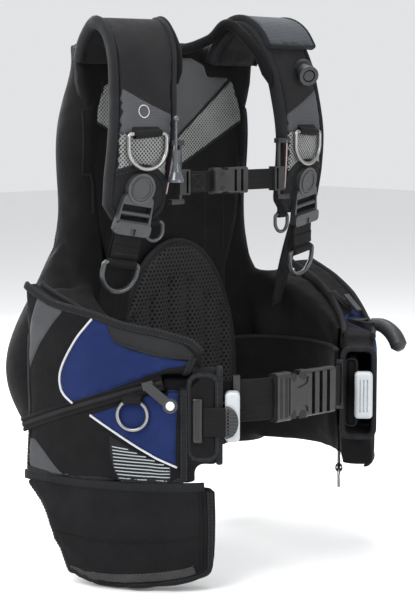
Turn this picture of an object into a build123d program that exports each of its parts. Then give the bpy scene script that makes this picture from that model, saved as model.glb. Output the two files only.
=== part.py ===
from build123d import *
import math
import os

# Buoyancy compensator vest. Millimetres. +Z up, the wearer faces -Y, the wearer's left is +X.
# The origin is the centre of the tank band, on the axis of the tank it holds.

# ---- driving dimensions ----
TANK_R = 92.0            # radius the tank band closes on
BAND_W = 50.0            # tank band webbing width
BAND_T = 2.0             # webbing thickness
PLATE_R0 = 94.6          # backpack plate, inner radius
PLATE_R1 = 100.0         # backpack plate, outer radius
PLATE_ANGLE = 52.0       # half angle of the plate about the tank axis
PLATE_Z = (-150.0, 170.0)
SHEET_Y = (-112.0, -104.0)     # centre sheet of the air cell
LINING_Y = (-116.0, -112.3)
PAD_Y = (-133.5, -123.2)       # lumbar pad
CELL_BOTTOM = -186.0
PAD_T = 14.0
RING_WIRE = 2.6          # wire radius of the shoulder D-rings
SWIVEL_Z = 176.0
SWIVEL_TIP = 10.0        # degrees the swivel's lower end leans back
SWIVEL_LEAN = 9.6        # degrees the swivel leans outward
RAIL_Z = (158.0, 228.0)
CHEST_Z = 181.0
CHEST_W = 25.0
WAIST_Z = -69.0
WAIST_W = 50.0
BUCKLE_Y = -345.0        # middle plane of the waist buckle
GAP = 0.4                # clearance between bodies

os.makedirs("parts", exist_ok=True)


# ---- helpers ----
def box(x0, x1, y0, y1, z0, z1):
    centre = ((x0 + x1) / 2, (y0 + y1) / 2, (z0 + z1) / 2)
    return Pos(*centre) * Box(x1 - x0, y1 - y0, z1 - z0)


def flip(shape):
    return mirror(shape, Plane.YZ)


def smooth(points, n=9):
    # a Catmull-Rom curve through the points
    out = []
    padded = [points[0]] + list(points) + [points[-1]]
    for i in range(1, len(padded) - 2):
        a, b, c, d = padded[i - 1:i + 3]
        for k in range(n):
            t = k / n
            out.append(tuple(
                0.5 * (2 * b[j] + (c[j] - a[j]) * t + (2 * a[j] - 5 * b[j] + 4 * c[j] - d[j]) * t * t
                       + (3 * b[j] - a[j] - 3 * c[j] + d[j]) * t ** 3)
                for j in range(len(b))
            ))
    return out + [tuple(points[-1])]


def offset_line(points, d):
    # the curve moved sideways, to the left of its direction
    out = []
    for i, p in enumerate(points):
        a = points[max(i - 1, 0)]
        b = points[min(i + 1, len(points) - 1)]
        length = math.hypot(b[0] - a[0], b[1] - a[1])
        out.append((p[0] - (b[1] - a[1]) / length * d, p[1] + (b[0] - a[0]) / length * d))
    return out


def ribbon(points, d0, d1):
    # flat face between two offsets of a curve
    near = offset_line(points, d0)
    far = offset_line(points, d1)
    edges = [Spline(*near), Line(near[-1], far[-1]), Spline(*far), Line(far[0], near[0])]
    return make_face(edges)


def wall(points, d0, d1, z0, z1):
    # upright band that follows a plan curve
    return Pos(0, 0, z0) * extrude(ribbon(points, d0, d1), z1 - z0)


def poly_xz(points, y0, y1):
    # outline in the XZ plane, extruded from y0 to y1
    face = make_face(Polyline(*[(x, z) for x, z in points], close=True))
    return Plane(origin=(0, y1, 0), x_dir=(1, 0, 0), z_dir=(0, -1, 0)) * extrude(face, y1 - y0)


def poly_yz(points, x0, x1):
    # closed face in the YZ plane, extruded from x0 to x1
    return Plane(origin=(x0, 0, 0), x_dir=(0, 1, 0), z_dir=(1, 0, 0)) * extrude(points, x1 - x0)


def d_ring(half, depth, wire):
    # D-ring hanging from a straight bar that lies along X at the origin
    path = FilletPolyline(
        (-half, 0), (half, 0), (half, -depth), (-half, -depth), radius=[4, 4, half - 0.5, half - 0.5], close=True
    )
    ring = sweep(Plane(origin=path @ 0, z_dir=path % 0) * Circle(wire), path=path)
    return Plane(origin=(0, 0, 0), x_dir=(1, 0, 0), z_dir=(0, -1, 0)) * ring


def loop_around(width, wire, drop, thick=1.6):
    # webbing loop around a bar along X at the origin, with a tail below or above it
    r0 = wire + 0.5
    sleeve = Rot(0, 90, 0) * (Cylinder(r0 + thick, width) - Cylinder(r0, width + 2))
    tail = Pos(0, r0 + thick / 2, -drop / 2) * Box(width, thick, abs(drop))
    return sleeve + (tail - Rot(0, 90, 0) * Cylinder(r0, width + 2))


# ---- plan curves of the right side (negative X), from the back round to the front ----
BELT_LINE = smooth([(0, -119.3), (-60, -119.3), (-100, -119.8), (-135, -132), (-156, -168), (-161, -208),
                    (-151, -245), (-133, -277), (-110, -304)])
SIDE_C = (-8.0, -130.0)   # centre of the arc that the right pocket's outer face follows
SIDE_R = 228.0


def arc_point(radius, angle):
    return (SIDE_C[0] + radius * math.cos(math.radians(angle)), SIDE_C[1] + radius * math.sin(math.radians(angle)))


def sector(r_in, r_out, a0, a1, z0, z1, centre=SIDE_C):
    # upright curved slab of the right side between two angles
    n = 16
    turns = [math.radians(a0 + (a1 - a0) * i / n) for i in range(n + 1)]
    outer = [(centre[0] + r_out * math.cos(t), centre[1] + r_out * math.sin(t)) for t in turns]
    inner = [(centre[0] + r_in * math.cos(t), centre[1] + r_in * math.sin(t)) for t in turns]
    edges = [Spline(*outer), Line(outer[-1], inner[-1]), Spline(*inner), Line(inner[0], outer[0])]
    return Pos(0, 0, z0) * extrude(make_face(edges), z1 - z0)


# the top edge of the side wings and pockets, as (Y, Z) from the back to the front
TOP_EDGE = [(400, 92), (-60, 92), (-100, 85), (-125, 62), (-170, 45), (-215, 25), (-260, -1), (-300, -12),
            (-500, -18)]
above_wing = poly_yz(make_face(Polyline(*TOP_EDGE, (-500, 900), (400, 900), close=True)), -600, 600)
tank_space = Cylinder(104.0, 1200)

# ---- backpack plate, tank band and cam buckle ----
wedge = make_face(Polyline(
    (0, 0),
    (400 * math.sin(math.radians(-PLATE_ANGLE)), -400 * math.cos(math.radians(PLATE_ANGLE))),
    (400 * math.sin(math.radians(PLATE_ANGLE)), -400 * math.cos(math.radians(PLATE_ANGLE))),
    close=True,
))
plate_h = PLATE_Z[1] - PLATE_Z[0]
plate_mid = (PLATE_Z[0] + PLATE_Z[1]) / 2
plate = Pos(0, 0, plate_mid) * (Cylinder(PLATE_R1, plate_h) - Cylinder(PLATE_R0, plate_h + 2))
plate &= Pos(0, 0, PLATE_Z[0]) * extrude(wedge, plate_h)
for z in (-105.0, 75.0, 125.0):
    plate -= Pos(0, -PLATE_R1, z) * Rot(90, 0, 0) * extrude(SlotOverall(60, 22), 30, both=True)


def band_radius(angle):
    # inside the plate at the back, over its front between the two slots
    if abs(angle) >= 46:
        return TANK_R
    if abs(angle) <= 37:
        return PLATE_R1 + 0.6
    return TANK_R + (46 - abs(angle)) / 9 * (PLATE_R1 + 0.6 - TANK_R)


def polar(radius, angle):
    return (radius * math.sin(math.radians(angle)), -radius * math.cos(math.radians(angle)))


front_angles = [-50 + i for i in range(101)]
front_in = [polar(band_radius(a), a) for a in front_angles]
front_out = [polar(band_radius(a) + BAND_T, a) for a in reversed(front_angles)]
band_front = Pos(0, 0, -BAND_W / 2) * extrude(make_face(Polyline(*front_in, *front_out, close=True)), BAND_W)
rear_cut = Pos(0, 0, -60) * extrude(make_face(Polyline((0, 0), polar(300, -49.9), polar(300, 0), polar(300, 49.9),
                                                       close=True)), 120)
band_rear = Cylinder(TANK_R + BAND_T, BAND_W) - Cylinder(TANK_R, BAND_W + 2) - rear_cut
tank_band = band_rear + band_front
slot_in = [polar(band_radius(a) - 1.2, a) for a in front_angles[3:-3]]
slot_out = [polar(band_radius(a) + BAND_T + 1.2, a) for a in reversed(front_angles[3:-3])]
plate -= Pos(0, 0, -27) * extrude(make_face(Polyline(*slot_in, *slot_out, close=True)), 54)

CAM_Y = TANK_R + BAND_T + 0.2
cam_frame = box(-30, 30, CAM_Y + 3, CAM_Y + 9, -31, 31)
cam_frame -= box(-22, -14, CAM_Y, CAM_Y + 20, -26, 26)
cam_frame -= box(-6, 22, CAM_Y + 5, CAM_Y + 20, -24, 24)
cam_feet = [box(x - 3, x + 3, CAM_Y, CAM_Y + 3.5, -31, 31) - tank_band for x in (-26.5, 26.5)]
cam_frame = cam_frame + cam_feet[0] + cam_feet[1]
cam_ears = [box(20, 30, CAM_Y + 9, CAM_Y + 17, z - 2.5, z + 2.5) for z in (-28.5, 28.5)]
CAM_PIVOT = (25.0, CAM_Y + 13.0)
cam_pin = Pos(CAM_PIVOT[0], CAM_PIVOT[1], 0) * Cylinder(2.0, 62)
cam_frame = cam_frame + cam_ears[0] + cam_ears[1] + cam_pin
lever_plan = smooth([(27.5, CAM_PIVOT[1]), (10, CAM_Y + 15), (-15, CAM_Y + 12.5), (-40, CAM_Y + 13), (-52, CAM_Y + 17)])
cam_lever = wall(lever_plan, -2.5, 2.5, -24, 24)
cam_lever += Pos(CAM_PIVOT[0], CAM_PIVOT[1], 0) * Cylinder(4.0, 48)
cam_lever -= Pos(CAM_PIVOT[0], CAM_PIVOT[1], 0) * Cylinder(2.4, 80)
cam_lever -= box(-46, -26, CAM_Y, CAM_Y + 30, -9, 9)


# ---- air cell: centre sheet, and a rear lobe and a side wing on each side ----
sheet_half = [(-98, -178), (-98, 120), (-98, 330), (-66, 342), (-40, 350)]
sheet_outline = sheet_half + [(0, 346)] + [(-x, z) for x, z in reversed(sheet_half)]
sheet = poly_xz(sheet_outline, SHEET_Y[0], SHEET_Y[1])

LOWER = [(-99, -106), (-128, -112), (-152, -122), (-172, -124), (-196, -112), (-201, -82), (-188, -56),
         (-160, -31), (-122, -20), (-100, -40)]
MIDDLE = [(-99, -114), (-114, -120), (-128, -121), (-140, -108), (-146, -86), (-143, -66), (-134, -52),
          (-120, -44), (-106, -46), (-99, -60)]
UPPER = [(-99, -114), (-112, -120), (-126, -120), (-135, -108), (-138, -88), (-135, -72), (-127, -60),
         (-116, -54), (-106, -56), (-99, -66)]


def section(points, z, shrink=0.0):
    cx = sum(p[0] for p in points) / len(points)
    cy = sum(p[1] for p in points) / len(points)
    moved = [(cx + (x - cx) * (1 - shrink), cy + (y - cy) * (1 - shrink)) for x, y in points]
    return Plane.XY.offset(z) * make_face(Spline(*moved, periodic=True))


rear_lobe = loft([section(LOWER, CELL_BOTTOM, 0.12), section(LOWER, -120), section(LOWER, 20),
                  section(MIDDLE, 120), section(MIDDLE, 190), section(UPPER, 290), section(UPPER, 350, 0.2)])
wing_inner = offset_line(BELT_LINE, -3.4)[27:64]
wing_outer = [arc_point(203.5, 178 + 46 * i / 16) for i in range(17)]
wing_face = make_face([Spline(*wing_inner), Line(wing_inner[-1], wing_outer[-1]), Spline(*wing_outer),
                       Line(wing_outer[0], wing_inner[0])])
side_wing = Pos(0, 0, CELL_BOTTOM + 10) * extrude(wing_face, 330) - above_wing
centre_space = box(-98.2, 98.2, -400, 400, -400, 500)
belt_space = wall(BELT_LINE, -4, 4, WAIST_Z - 42, WAIST_Z + 42)
lobe = (rear_lobe + side_wing) - centre_space - tank_space - belt_space

# ---- shoulder pads: each is drawn in its own frame, turned outward a little about Z ----
PAD_C = (-133.0, -215.0)
PAD_YAW = -8.7
pad_frame = Pos(PAD_C[0], PAD_C[1], 0) * Rot(0, 0, PAD_YAW)
pad_profile = smooth([(100, 318), (90, 346), (62, 369), (34, 360), (14, 326), (4, 280), (0, 235), (5, 187),
                      (14, 137)], 6)
PAD_FRONT_OUTLINE = [(-30, 394), (-32, 340), (-36, 300), (-42, 239), (-45, 190), (-44, 156), (-30, 138),
                     (16, 138), (32, 152), (37, 190), (42, 239), (48, 300), (56, 340), (60, 394)]
PAD_REAR_OUTLINE = [(-30, 394), (60, 394), (56, 300), (-34, 300)]
pad_bar = poly_yz(ribbon(pad_profile, -PAD_T / 2, PAD_T / 2), -90, 110)
pad_front = pad_bar & poly_xz(PAD_FRONT_OUTLINE, -60, 62)
pad_rear = pad_bar & poly_xz(PAD_REAR_OUTLINE, 62, 130)
shoulder_pad = pad_frame * (pad_front + pad_rear)
lobe -= shoulder_pad
lobe -= box(-200, -40, -300, -112, 314, 420)

lining_half = [(-96, 60), (-116, 120), (-126, 200), (-122, 260), (-104, 312), (-62, 312), (-56, 326), (-34, 334)]
lining = poly_xz(
    [(-98, -178)] + lining_half + [(0, 330)] + [(-x, z) for x, z in reversed(lining_half)] + [(98, -178)],
    LINING_Y[0], LINING_Y[1],
)
lining = lining - lobe - flip(lobe) - shoulder_pad - flip(shoulder_pad)
belt_room = wall(BELT_LINE, -3.3, 3.3, WAIST_Z - 39, WAIST_Z + 39)
lining = lining - belt_room - flip(belt_room)
lining = max(lining.solids(), key=lambda s: s.volume)
lobe = max(lobe.solids(), key=lambda s: s.volume)

# ---- lumbar pad: an arch, split by upright channels ----
arch = smooth([(-98, -128), (-99, -60), (-92, -5), (-70, 50), (-40, 86), (0, 100), (40, 86), (70, 50), (92, -5),
               (99, -60), (98, -128)], 5)
lumbar = poly_xz(arch, PAD_Y[0], PAD_Y[1])
for x in (-62, -31, 0, 31, 62):
    lumbar -= box(x - 1.5, x + 1.5, PAD_Y[0] - 1, PAD_Y[0] + 3, -118, 62 - abs(x) * 0.7)

# ---- neck tube along the inner edge of the pads and across the back ----
neck_right = [(-79, -216, 298), (-68, -202.5, 338), (-57, -164, 373), (-52, -136, 356), (-32, -121, 345)]
neck_points = neck_right + [(0, -119, 340.5)] + [(-x, y, z) for x, y, z in reversed(neck_right)]
neck_path = Spline(*neck_points)
neck = sweep(Plane(origin=neck_path @ 0, z_dir=neck_path % 0) * Circle(6.5), path=neck_path)
neck = neck - shoulder_pad - flip(shoulder_pad) - sheet - lining
neck = max(neck.solids(), key=lambda s: s.volume)

# ---- carry handle behind the neck ----
handle_path = Spline((-50, -98, 300), (-42, -84, 318), (0, -78, 324), (42, -84, 318), (50, -98, 300))
handle_bar = sweep(Plane(origin=handle_path @ 0, z_dir=handle_path % 0) * Rectangle(26, 3), path=handle_path)
handle_tabs = box(-64, -36, -103.8, -96, 286, 304) + box(36, 64, -103.8, -96, 286, 304)
carry_handle = handle_bar + handle_tabs - sheet

# ---- D-rings on the shoulder pads, with their webbing tabs ----
shoulder_bar = pad_frame * Pos(0, -PAD_T / 2 - 5.6, 239)
shoulder_ring = shoulder_bar * d_ring(26, 41, RING_WIRE)
shoulder_tab = shoulder_bar * loop_around(36, RING_WIRE, -24)
shoulder_tab -= shoulder_pad

# an oval ring hangs from the inner bottom corner of each pad
end_bar = pad_frame * Pos(23, 12, 133.6)
end_ring = end_bar * d_ring(13, 22, 2.2)
end_tab = end_bar * loop_around(14, 2.2, -14)
end_tab -= shoulder_pad

# ---- swivel ladder-locks: a frame turns about a rivet on the pad ----
swivel_frame = (pad_frame * Pos(-6, 6.4 - PAD_T / 2 - 0.9, SWIVEL_Z) * Rot(90 + SWIVEL_TIP, 0, 0)
                * Rot(0, 0, -SWIVEL_LEAN))
body_outline = Polyline((-12, -4), (12, -4), (21, -12), (24, -40), (25, -52), (20, -57), (-20, -57), (-25, -52),
                        (-24, -40), (-21, -12), close=True)
swivel = extrude(Circle(18.5), 8) + extrude(make_face(body_outline), 7)
swivel -= Pos(0, -30, 0) * Box(40.6, 19, 40)
swivel += Pos(0, -31, 3.6) * Rot(0, 90, 0) * Cylinder(3.0, 42)
swivel += Pos(0, -48.5, 7) * extrude(RectangleRounded(49, 15, 5), 3)
swivel -= Pos(0, -57, 9.5) * Rot(90, 0, 0) * Cylinder(3.5, 18)
swivel -= Pos(0, -50, 1.2) * Box(40.6, 21, 6)
swivel -= Cylinder(15.0, 30)
swivel = swivel_frame * swivel
button = extrude(Circle(14.4), 8.6) + Pos(0, 0, 8.6) * (Cylinder(12.6, 1.6) - Cylinder(11.4, 3))
button = swivel_frame * Pos(0, 0, -0.6) * button - shoulder_pad

# pull tail under the lip, folded round the pull ring's bar
TAIL_END = -88.0
tail = Pos(0, (TAIL_END - 36) / 2, 2.2) * Box(38, -TAIL_END - 36, 2.0)
ring_bar = Pos(0, TAIL_END - 4.0, 2.2)
tail_loop = ring_bar * Rot(0, 90, 0) * (Cylinder(5.4, 38) - Cylinder(3.6, 40))
tail = (tail - ring_bar * Rot(0, 90, 0) * Cylinder(3.6, 40)) + tail_loop
strap_tail = swivel_frame * tail
pull_ring = swivel_frame * ring_bar * Rot(-90, 0, 0) * d_ring(24, 34, 3.0)

# anchor webbing: from behind the ladder-lock down to the inner face of the side wing
anchor_top = (swivel_frame * Pos(0, -47, -1.4) * Rot(90, 0, 0)) * Rectangle(38, 2)
anchor_low = Pos(-141, -167, 12) * Rot(0, 0, -26) * Rectangle(38, 2)
anchor = loft([anchor_top.face(), anchor_low.face()]) - shoulder_pad - lobe
anchor = max(anchor.solids(), key=lambda s: s.volume)

# ---- chest strap: rails, sliders, webbing and side-release buckle ----
RAIL = (-83.5, -226.0)
rail_mid = (RAIL_Z[0] + RAIL_Z[1]) / 2
rail = Pos(RAIL[0], RAIL[1], rail_mid) * Cylinder(2.6, RAIL_Z[1] - RAIL_Z[0])
for z in RAIL_Z:
    rail += box(RAIL[0] - 16, RAIL[0] + 4, RAIL[1] - 4, RAIL[1] + 4, z - 3, z + 3)
rail -= shoulder_pad
rail = max(rail.solids(), key=lambda s: s.volume)

STRAP_Y = RAIL[1] - 1.5
half_w = CHEST_W / 2
slider = box(RAIL[0] - 5, RAIL[0] + 12, RAIL[1] - 6, RAIL[1] + 5, CHEST_Z - 15, CHEST_Z + 15)
slider -= Pos(RAIL[0], RAIL[1], CHEST_Z) * Cylinder(3.1, 60)
slider -= box(RAIL[0] + 5.5, RAIL[0] + 9, RAIL[1] - 12, RAIL[1] + 12, CHEST_Z - half_w - 0.5, CHEST_Z + half_w + 0.5)
slider -= shoulder_pad
strap_from = RAIL[0] + 12.4
CHEST_SOCKET = (-34.0, -6.0)
CHEST_PLUG_END = 24.0
s0, s1 = CHEST_SOCKET
chest_socket = box(s0, s1, STRAP_Y - 6, STRAP_Y + 6, CHEST_Z - 16, CHEST_Z + 16)
chest_socket = fillet(chest_socket.edges().filter_by(Axis.X), 4)
chest_socket -= box(s0 + 8, s1 + 1, STRAP_Y - 3.6, STRAP_Y + 3.6, CHEST_Z - 13, CHEST_Z + 13)
for side in (-1, 1):
    z = CHEST_Z + side * 15.5
    chest_socket -= box(s0 + 14, s1 - 4, STRAP_Y - 8, STRAP_Y + 8, z - 2.4, z + 2.4)
chest_plug = box(s1 + GAP, CHEST_PLUG_END, STRAP_Y - 5, STRAP_Y + 5, CHEST_Z - 16, CHEST_Z + 16)
chest_plug = fillet(chest_plug.edges().filter_by(Axis.X), 3)
for side in (-1, 1):
    z = CHEST_Z + side * 9.5
    chest_plug += box(s0 + 11, s1 + 3, STRAP_Y - 2.6, STRAP_Y + 2.6, z - 2.8, z + 2.8)
for x in (s1 + 9, s1 + 20):
    chest_plug -= box(x - 2.1, x + 2.1, STRAP_Y - 9, STRAP_Y + 9, CHEST_Z - 13.2, CHEST_Z + 13.2)
strap_r = box(strap_from, s0 - GAP, STRAP_Y - 1, STRAP_Y + 1, CHEST_Z - half_w, CHEST_Z + half_w)
strap_l = box(CHEST_PLUG_END + GAP, -strap_from, STRAP_Y - 1, STRAP_Y + 1, CHEST_Z - half_w, CHEST_Z + half_w)

# ---- dump valve toggle: a flared pull on a short cord from the pad ----
TOGGLE = (-101.0, -239.0)
flare = [(0, 182), (9.5, 182), (9.5, 185), (5.6, 194), (4.0, 204), (4.6, 214), (5.0, 220), (0, 220)]
flare_face = Plane.XZ * make_face(Polyline(*flare, close=True))
toggle = Pos(TOGGLE[0], TOGGLE[1], 0) * revolve(flare_face, Axis.Z)
toggle += Pos(TOGGLE[0], TOGGLE[1], 237) * Cylinder(1.6, 38) + Pos(TOGGLE[0], TOGGLE[1], 257) * Sphere(3.4)
cord_guide = box(TOGGLE[0] - 5, TOGGLE[0] + 5, TOGGLE[1] - 4, -205, 236, 241)
cord_guide -= Pos(TOGGLE[0], TOGGLE[1], 238) * Cylinder(2.3, 20)
cord_guide = max((cord_guide - shoulder_pad).solids(), key=lambda s: -s.center().Y)

# ---- waistband, waist straps, keepers and side-release buckle ----
belt = wall(BELT_LINE, -3, 3, WAIST_Z - 38, WAIST_Z + 38)
belt = belt + flip(belt)
low, high = WAIST_Z - WAIST_W / 2, WAIST_Z + WAIST_W / 2
strap_line = [(-117, -302), (-104, -316), (-89, -329), (-70, -339)]
PLUG_END = 56.0
waist_r = wall(smooth(strap_line + [(-44.4, BUCKLE_Y)], 5), -1.2, 1.2, low, high) - belt
waist_l = flip(wall(smooth(strap_line + [(-PLUG_END - 1.2, BUCKLE_Y)], 5), -1.2, 1.2, low, high)) - belt
keepers = []
for x in (-89.0, 89.0):
    keeper = Box(8, 8, WAIST_W + 10) - Box(20, 4.6, WAIST_W + 2)
    keepers.append(Pos(x, -329, WAIST_Z) * Rot(0, 0, math.copysign(33, x)) * keeper)
waist_socket = box(-44, 8, BUCKLE_Y - 8, BUCKLE_Y + 8, WAIST_Z - 29, WAIST_Z + 29)
waist_socket = fillet(waist_socket.edges().filter_by(Axis.X), 5)
waist_socket -= box(-30, 9, BUCKLE_Y - 5, BUCKLE_Y + 5, WAIST_Z - 25, WAIST_Z + 25)
for side in (-1, 1):
    z = WAIST_Z + side * 28.5
    waist_socket -= box(-20, -3, BUCKLE_Y - 12, BUCKLE_Y + 12, z - 4, z + 4)
waist_plug = box(8 + GAP, PLUG_END, BUCKLE_Y - 7, BUCKLE_Y + 7, WAIST_Z - 28, WAIST_Z + 28)
waist_plug = fillet(waist_plug.edges().filter_by(Axis.X), 4)
for x in (17.5, 30.5, 43.5):
    waist_plug -= box(x - 2.8, x + 2.8, BUCKLE_Y - 9, BUCKLE_Y + 9, low - 0.4, high + 0.4)
for side in (-1, 1):
    z = WAIST_Z + side * 19.0
    waist_plug += box(-26, 10, BUCKLE_Y - 4, BUCKLE_Y + 4, z - 4.5, z + 4.5)
waist_plug += box(-22, 10, BUCKLE_Y - 3, BUCKLE_Y + 3, WAIST_Z - 3, WAIST_Z + 3)

# ---- weight sleeves: a straight sleeve runs forward and inward from each pocket ----
POUCH_A = math.degrees(math.atan2(-0.688, 0.725))
POUCH_C = (-156.7, -286.7)
POUCH_Z = -83.0


def along(t, off, length, thick, height, z=POUCH_Z):
    # upright slab in the sleeve's direction: t forward of the reference point, off to the outer side
    place = Pos(POUCH_C[0], POUCH_C[1], z) * Rot(0, 0, POUCH_A) * Pos(t, -off, 0)
    return place * Box(length, thick, height)


def weight_handle(off):
    grip = fillet(along(74, off, 17, 22, 58).edges(), 5)
    for k in (-1, 0, 1):
        grip -= along(83, off + k * 4.4, 4, 1.6, 40)
    return grip + along(61.0, off - 3, 11, 6, 30)


sleeve = along(23, 2, 74, 28, 118)
sleeve_hole = along(24.4, 2, 72.6, 23, 100)
pouch = along(22.5, 0, 65, 16, 92)
handle = weight_handle(8)
left_sleeve = along(23, 7, 74, 41, 118)
left_hole = along(24.4, 6.5, 72.6, 36, 100)
left_pouch = along(22.5, -2, 65, 18, 92)
left_handle = weight_handle(13)

# ---- cargo pockets over the side wings ----
LEFT_R = 244.0


def cargo_pocket(radius, z_low, own_sleeve, own_hole, under):
    body = sector(204.0, radius, 177, 235, z_low, 160) - above_wing
    if under:
        body -= poly_yz(make_face(Polyline(*under, close=True)), -600, 600)
    body = body + (own_sleeve - above_wing)
    body = body - own_hole - lobe - belt - waist_r - box(-98, 98, -420, -290, -400, 400)
    return max(body.solids(), key=lambda s: s.volume)


pocket = cargo_pocket(SIDE_R, -166, sleeve, sleeve_hole, [])
left_under = [(400, -166), (-150, -166), (-300, -184), (-500, -184), (-500, -900), (400, -900)]
left_pocket = flip(cargo_pocket(LEFT_R, -190, left_sleeve, left_hole, left_under))
left_pocket -= box(184, 280, -306, -249, -24, 60)

# ---- roll-down pocket that hangs below the right pocket ----
drop = sector(204.2, 231.0, 176, 241, -289, -166.4)
drop_cut = make_face(Polyline((400, -160), (-112, -160), (-150, -206), (-176, -256), (-190, -278), (-216, -287),
                              (-270, -287), (-308, -280), (-326, -268), (-331, -250), (-400, -240), (-400, -900),
                              (400, -900), close=True))
drop = drop - poly_yz(drop_cut, -600, 600) - lobe

# ---- coil zippers: the right one runs in a tilted plane, its slider turns about that plane's axis ----
ZIP_FRAME = Pos(SIDE_C[0] + 27.2, SIDE_C[1], -102.0) * Rot(-20, 0, 0)
ZIP_R = 255.0


def zip_part(r0, r1, a0, a1, half):
    return ZIP_FRAME * sector(r0, r1, a0, a1, -half, half, (0.0, 0.0))


zip_right = zip_part(ZIP_R, ZIP_R + 2.0, 176, 222.5, 8) + zip_part(ZIP_R + 1.9, ZIP_R + 3.2, 177, 222, 2.6)
zip_right -= sleeve_hole
pocket -= zip_part(ZIP_R - 0.1, ZIP_R + 30, 172, 231, 8.2)
zip_slider_right = zip_part(ZIP_R + 3.7, ZIP_R + 7.2, 217.2, 220.0, 4.6)
zip_slider_right += zip_part(ZIP_R + 7.1, ZIP_R + 13.0, 218.2, 219.0, 1.6)
BAIL_T = math.radians(218.6)
bail_frame = ZIP_FRAME * Pos((ZIP_R + 15.2) * math.cos(BAIL_T), (ZIP_R + 15.2) * math.sin(BAIL_T), 0) * Rot(0, 0, 218.6)
zip_pull_right = Pos(0, 0, -19) * Box(3.2, 11, 36) + Pos(0, 0, -37) * Rot(0, 90, 0) * Cylinder(8.5, 3.6)
zip_pull_right = bail_frame * Rot(36, 0, 0) * zip_pull_right

top_a, top_b = (199.0, -211.0, 27.3), (198.0, -246.0, 7.1)
zip_dir = Vector(*[q - p for p, q in zip(top_a, top_b)])
zip_mid = [(p + q) / 2 for p, q in zip(top_a, top_b)]
left_plane = Plane(origin=zip_mid, x_dir=zip_dir, z_dir=Vector(0, 0, 1) - zip_dir * (zip_dir.Z / zip_dir.length ** 2))
left_len = zip_dir.length
zip_left = left_plane * (Pos(0, 0, 1.6) * Box(left_len, 13, 2) + Pos(0, 0, 3.2) * Box(left_len - 4, 5, 1.4))
zip_left = zip_left - flip(lobe) - left_pocket
zip_left = max(zip_left.solids(), key=lambda s: s.volume)
zip_slider_left = left_plane * (Pos(left_len / 2 - 9, 0, 6.2) * Box(13, 9, 3.6))
zip_slider_left += left_plane * (Pos(left_len / 2 - 9, 0, 8.6) * Box(5, 4, 4))
zip_slider_left += left_plane * (Pos(left_len / 2 - 2, 0, 9.8) * Rot(0, 8, 0) * Box(30, 9, 2.8))

# ---- ring on the right pocket and ring below the left sleeve ----
RING_R = 17.5
RING_A = 216.5
pocket_ring_frame = Pos(SIDE_C[0] + 235.2 * math.cos(math.radians(RING_A)),
                        SIDE_C[1] + 235.2 * math.sin(math.radians(RING_A)), -63.0) * Rot(0, 0, RING_A + 90)
pocket_ring = pocket_ring_frame * Pos(0, 0, -RING_R) * Rot(90, 0, 0) * Torus(RING_R, 2.0)
tab_loop = Rot(0, 90, 0) * (Cylinder(5.0, 11) - Cylinder(3.3, 13))
pocket_tab = pocket_ring_frame * (tab_loop + Pos(0, 5.6, -6) * Box(11, 1.6, 22) - Rot(0, 90, 0) * Cylinder(3.3, 13))
pocket_tab -= zip_right
low_frame = Pos(146.3, -275.2, -190.0)
low_ring = low_frame * Rot(0, 0, 43.5) * (Pos(0, 0, -12) * Rot(90, 0, 0) * Torus(12.0, 2.0))
low_tab = low_frame * Rot(0, 0, 43.5) * (
    Rot(0, 90, 0) * Cylinder(5.0, 11) + Pos(0, -1.1, 33) * Box(14, 1.6, 66) - Rot(0, 90, 0) * Cylinder(3.6, 15)
)
low_tab = low_tab - left_pocket - flip(lobe)

# ---- power inflator on the left pocket: housing and lever ----
LEVER_PIVOT = (197.0, -284.0, -8.0)
lever_path = Spline(LEVER_PIVOT, (201, -297, -9), (202, -309, -14), (201, -321, -23), (199, -330, -36))
lever_bar = sweep(Plane(origin=lever_path @ 0, z_dir=lever_path % 0) * Ellipse(6.5, 8.0), path=lever_path)
pivot_frame = Pos(*LEVER_PIVOT) * Rot(0, 0, 14) * Rot(0, 90, 0)
inflator_lever = lever_bar + Pos(199, -330, -36) * Sphere(8.0) + pivot_frame * Cylinder(8.0, 15)
inflator_lever -= pivot_frame * Cylinder(2.9, 60)
house_frame = Pos(LEVER_PIVOT[0], LEVER_PIVOT[1], LEVER_PIVOT[2]) * Rot(0, 0, 14)
inflator_housing = house_frame * Pos(0, 22, -5) * Box(26, 24, 20)
for x in (-10.3, 10.3):
    inflator_housing += house_frame * Pos(x, 3, -3) * Box(4, 20, 13)
inflator_housing = inflator_housing + pivot_frame * Cylinder(2.4, 24) - left_pocket - zip_left
inflator_housing = max(inflator_housing.solids(), key=lambda s: s.volume)

# ---- oral mouthpiece under the left shoulder flap, and the rear dump valve ----
mouth = pad_frame * Pos(-6, 0.5, 316) * Rot(0, 0, 34) * Rot(108, 0, 0)
mouth_body = Cylinder(14, 6) + Pos(0, 0, 13) * Cylinder(10.5, 22) + Pos(0, 0, 23) * Cylinder(12.5, 4)
mouth_body -= Pos(0, 0, 20) * Cylinder(8.0, 14)
mouth_body = flip(mouth * mouth_body - shoulder_pad)
mouth_button = mouth * (Pos(0, 0, 21.5) * Cylinder(6.5, 6) + Pos(0, 0, 17.6) * Cylinder(3.0, 2))
mouth_button = flip(mouth_button)
dump = Pos(-108, -52, 236) * Rot(90, 0, 0) * (Cylinder(15, 12) + Pos(0, 0, -8) * Cylinder(10, 5))
dump = dump - lobe - shoulder_pad
dump = max(dump.solids(), key=lambda s: s.volume)

# ---- flap over the left shoulder, hinged along its rear edge ----
flap_strip = poly_yz(ribbon(pad_profile[8:23], -PAD_T / 2 - 8.4, -PAD_T / 2 - GAP), -44, 56)
flap = flip(pad_frame * flap_strip)

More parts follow.
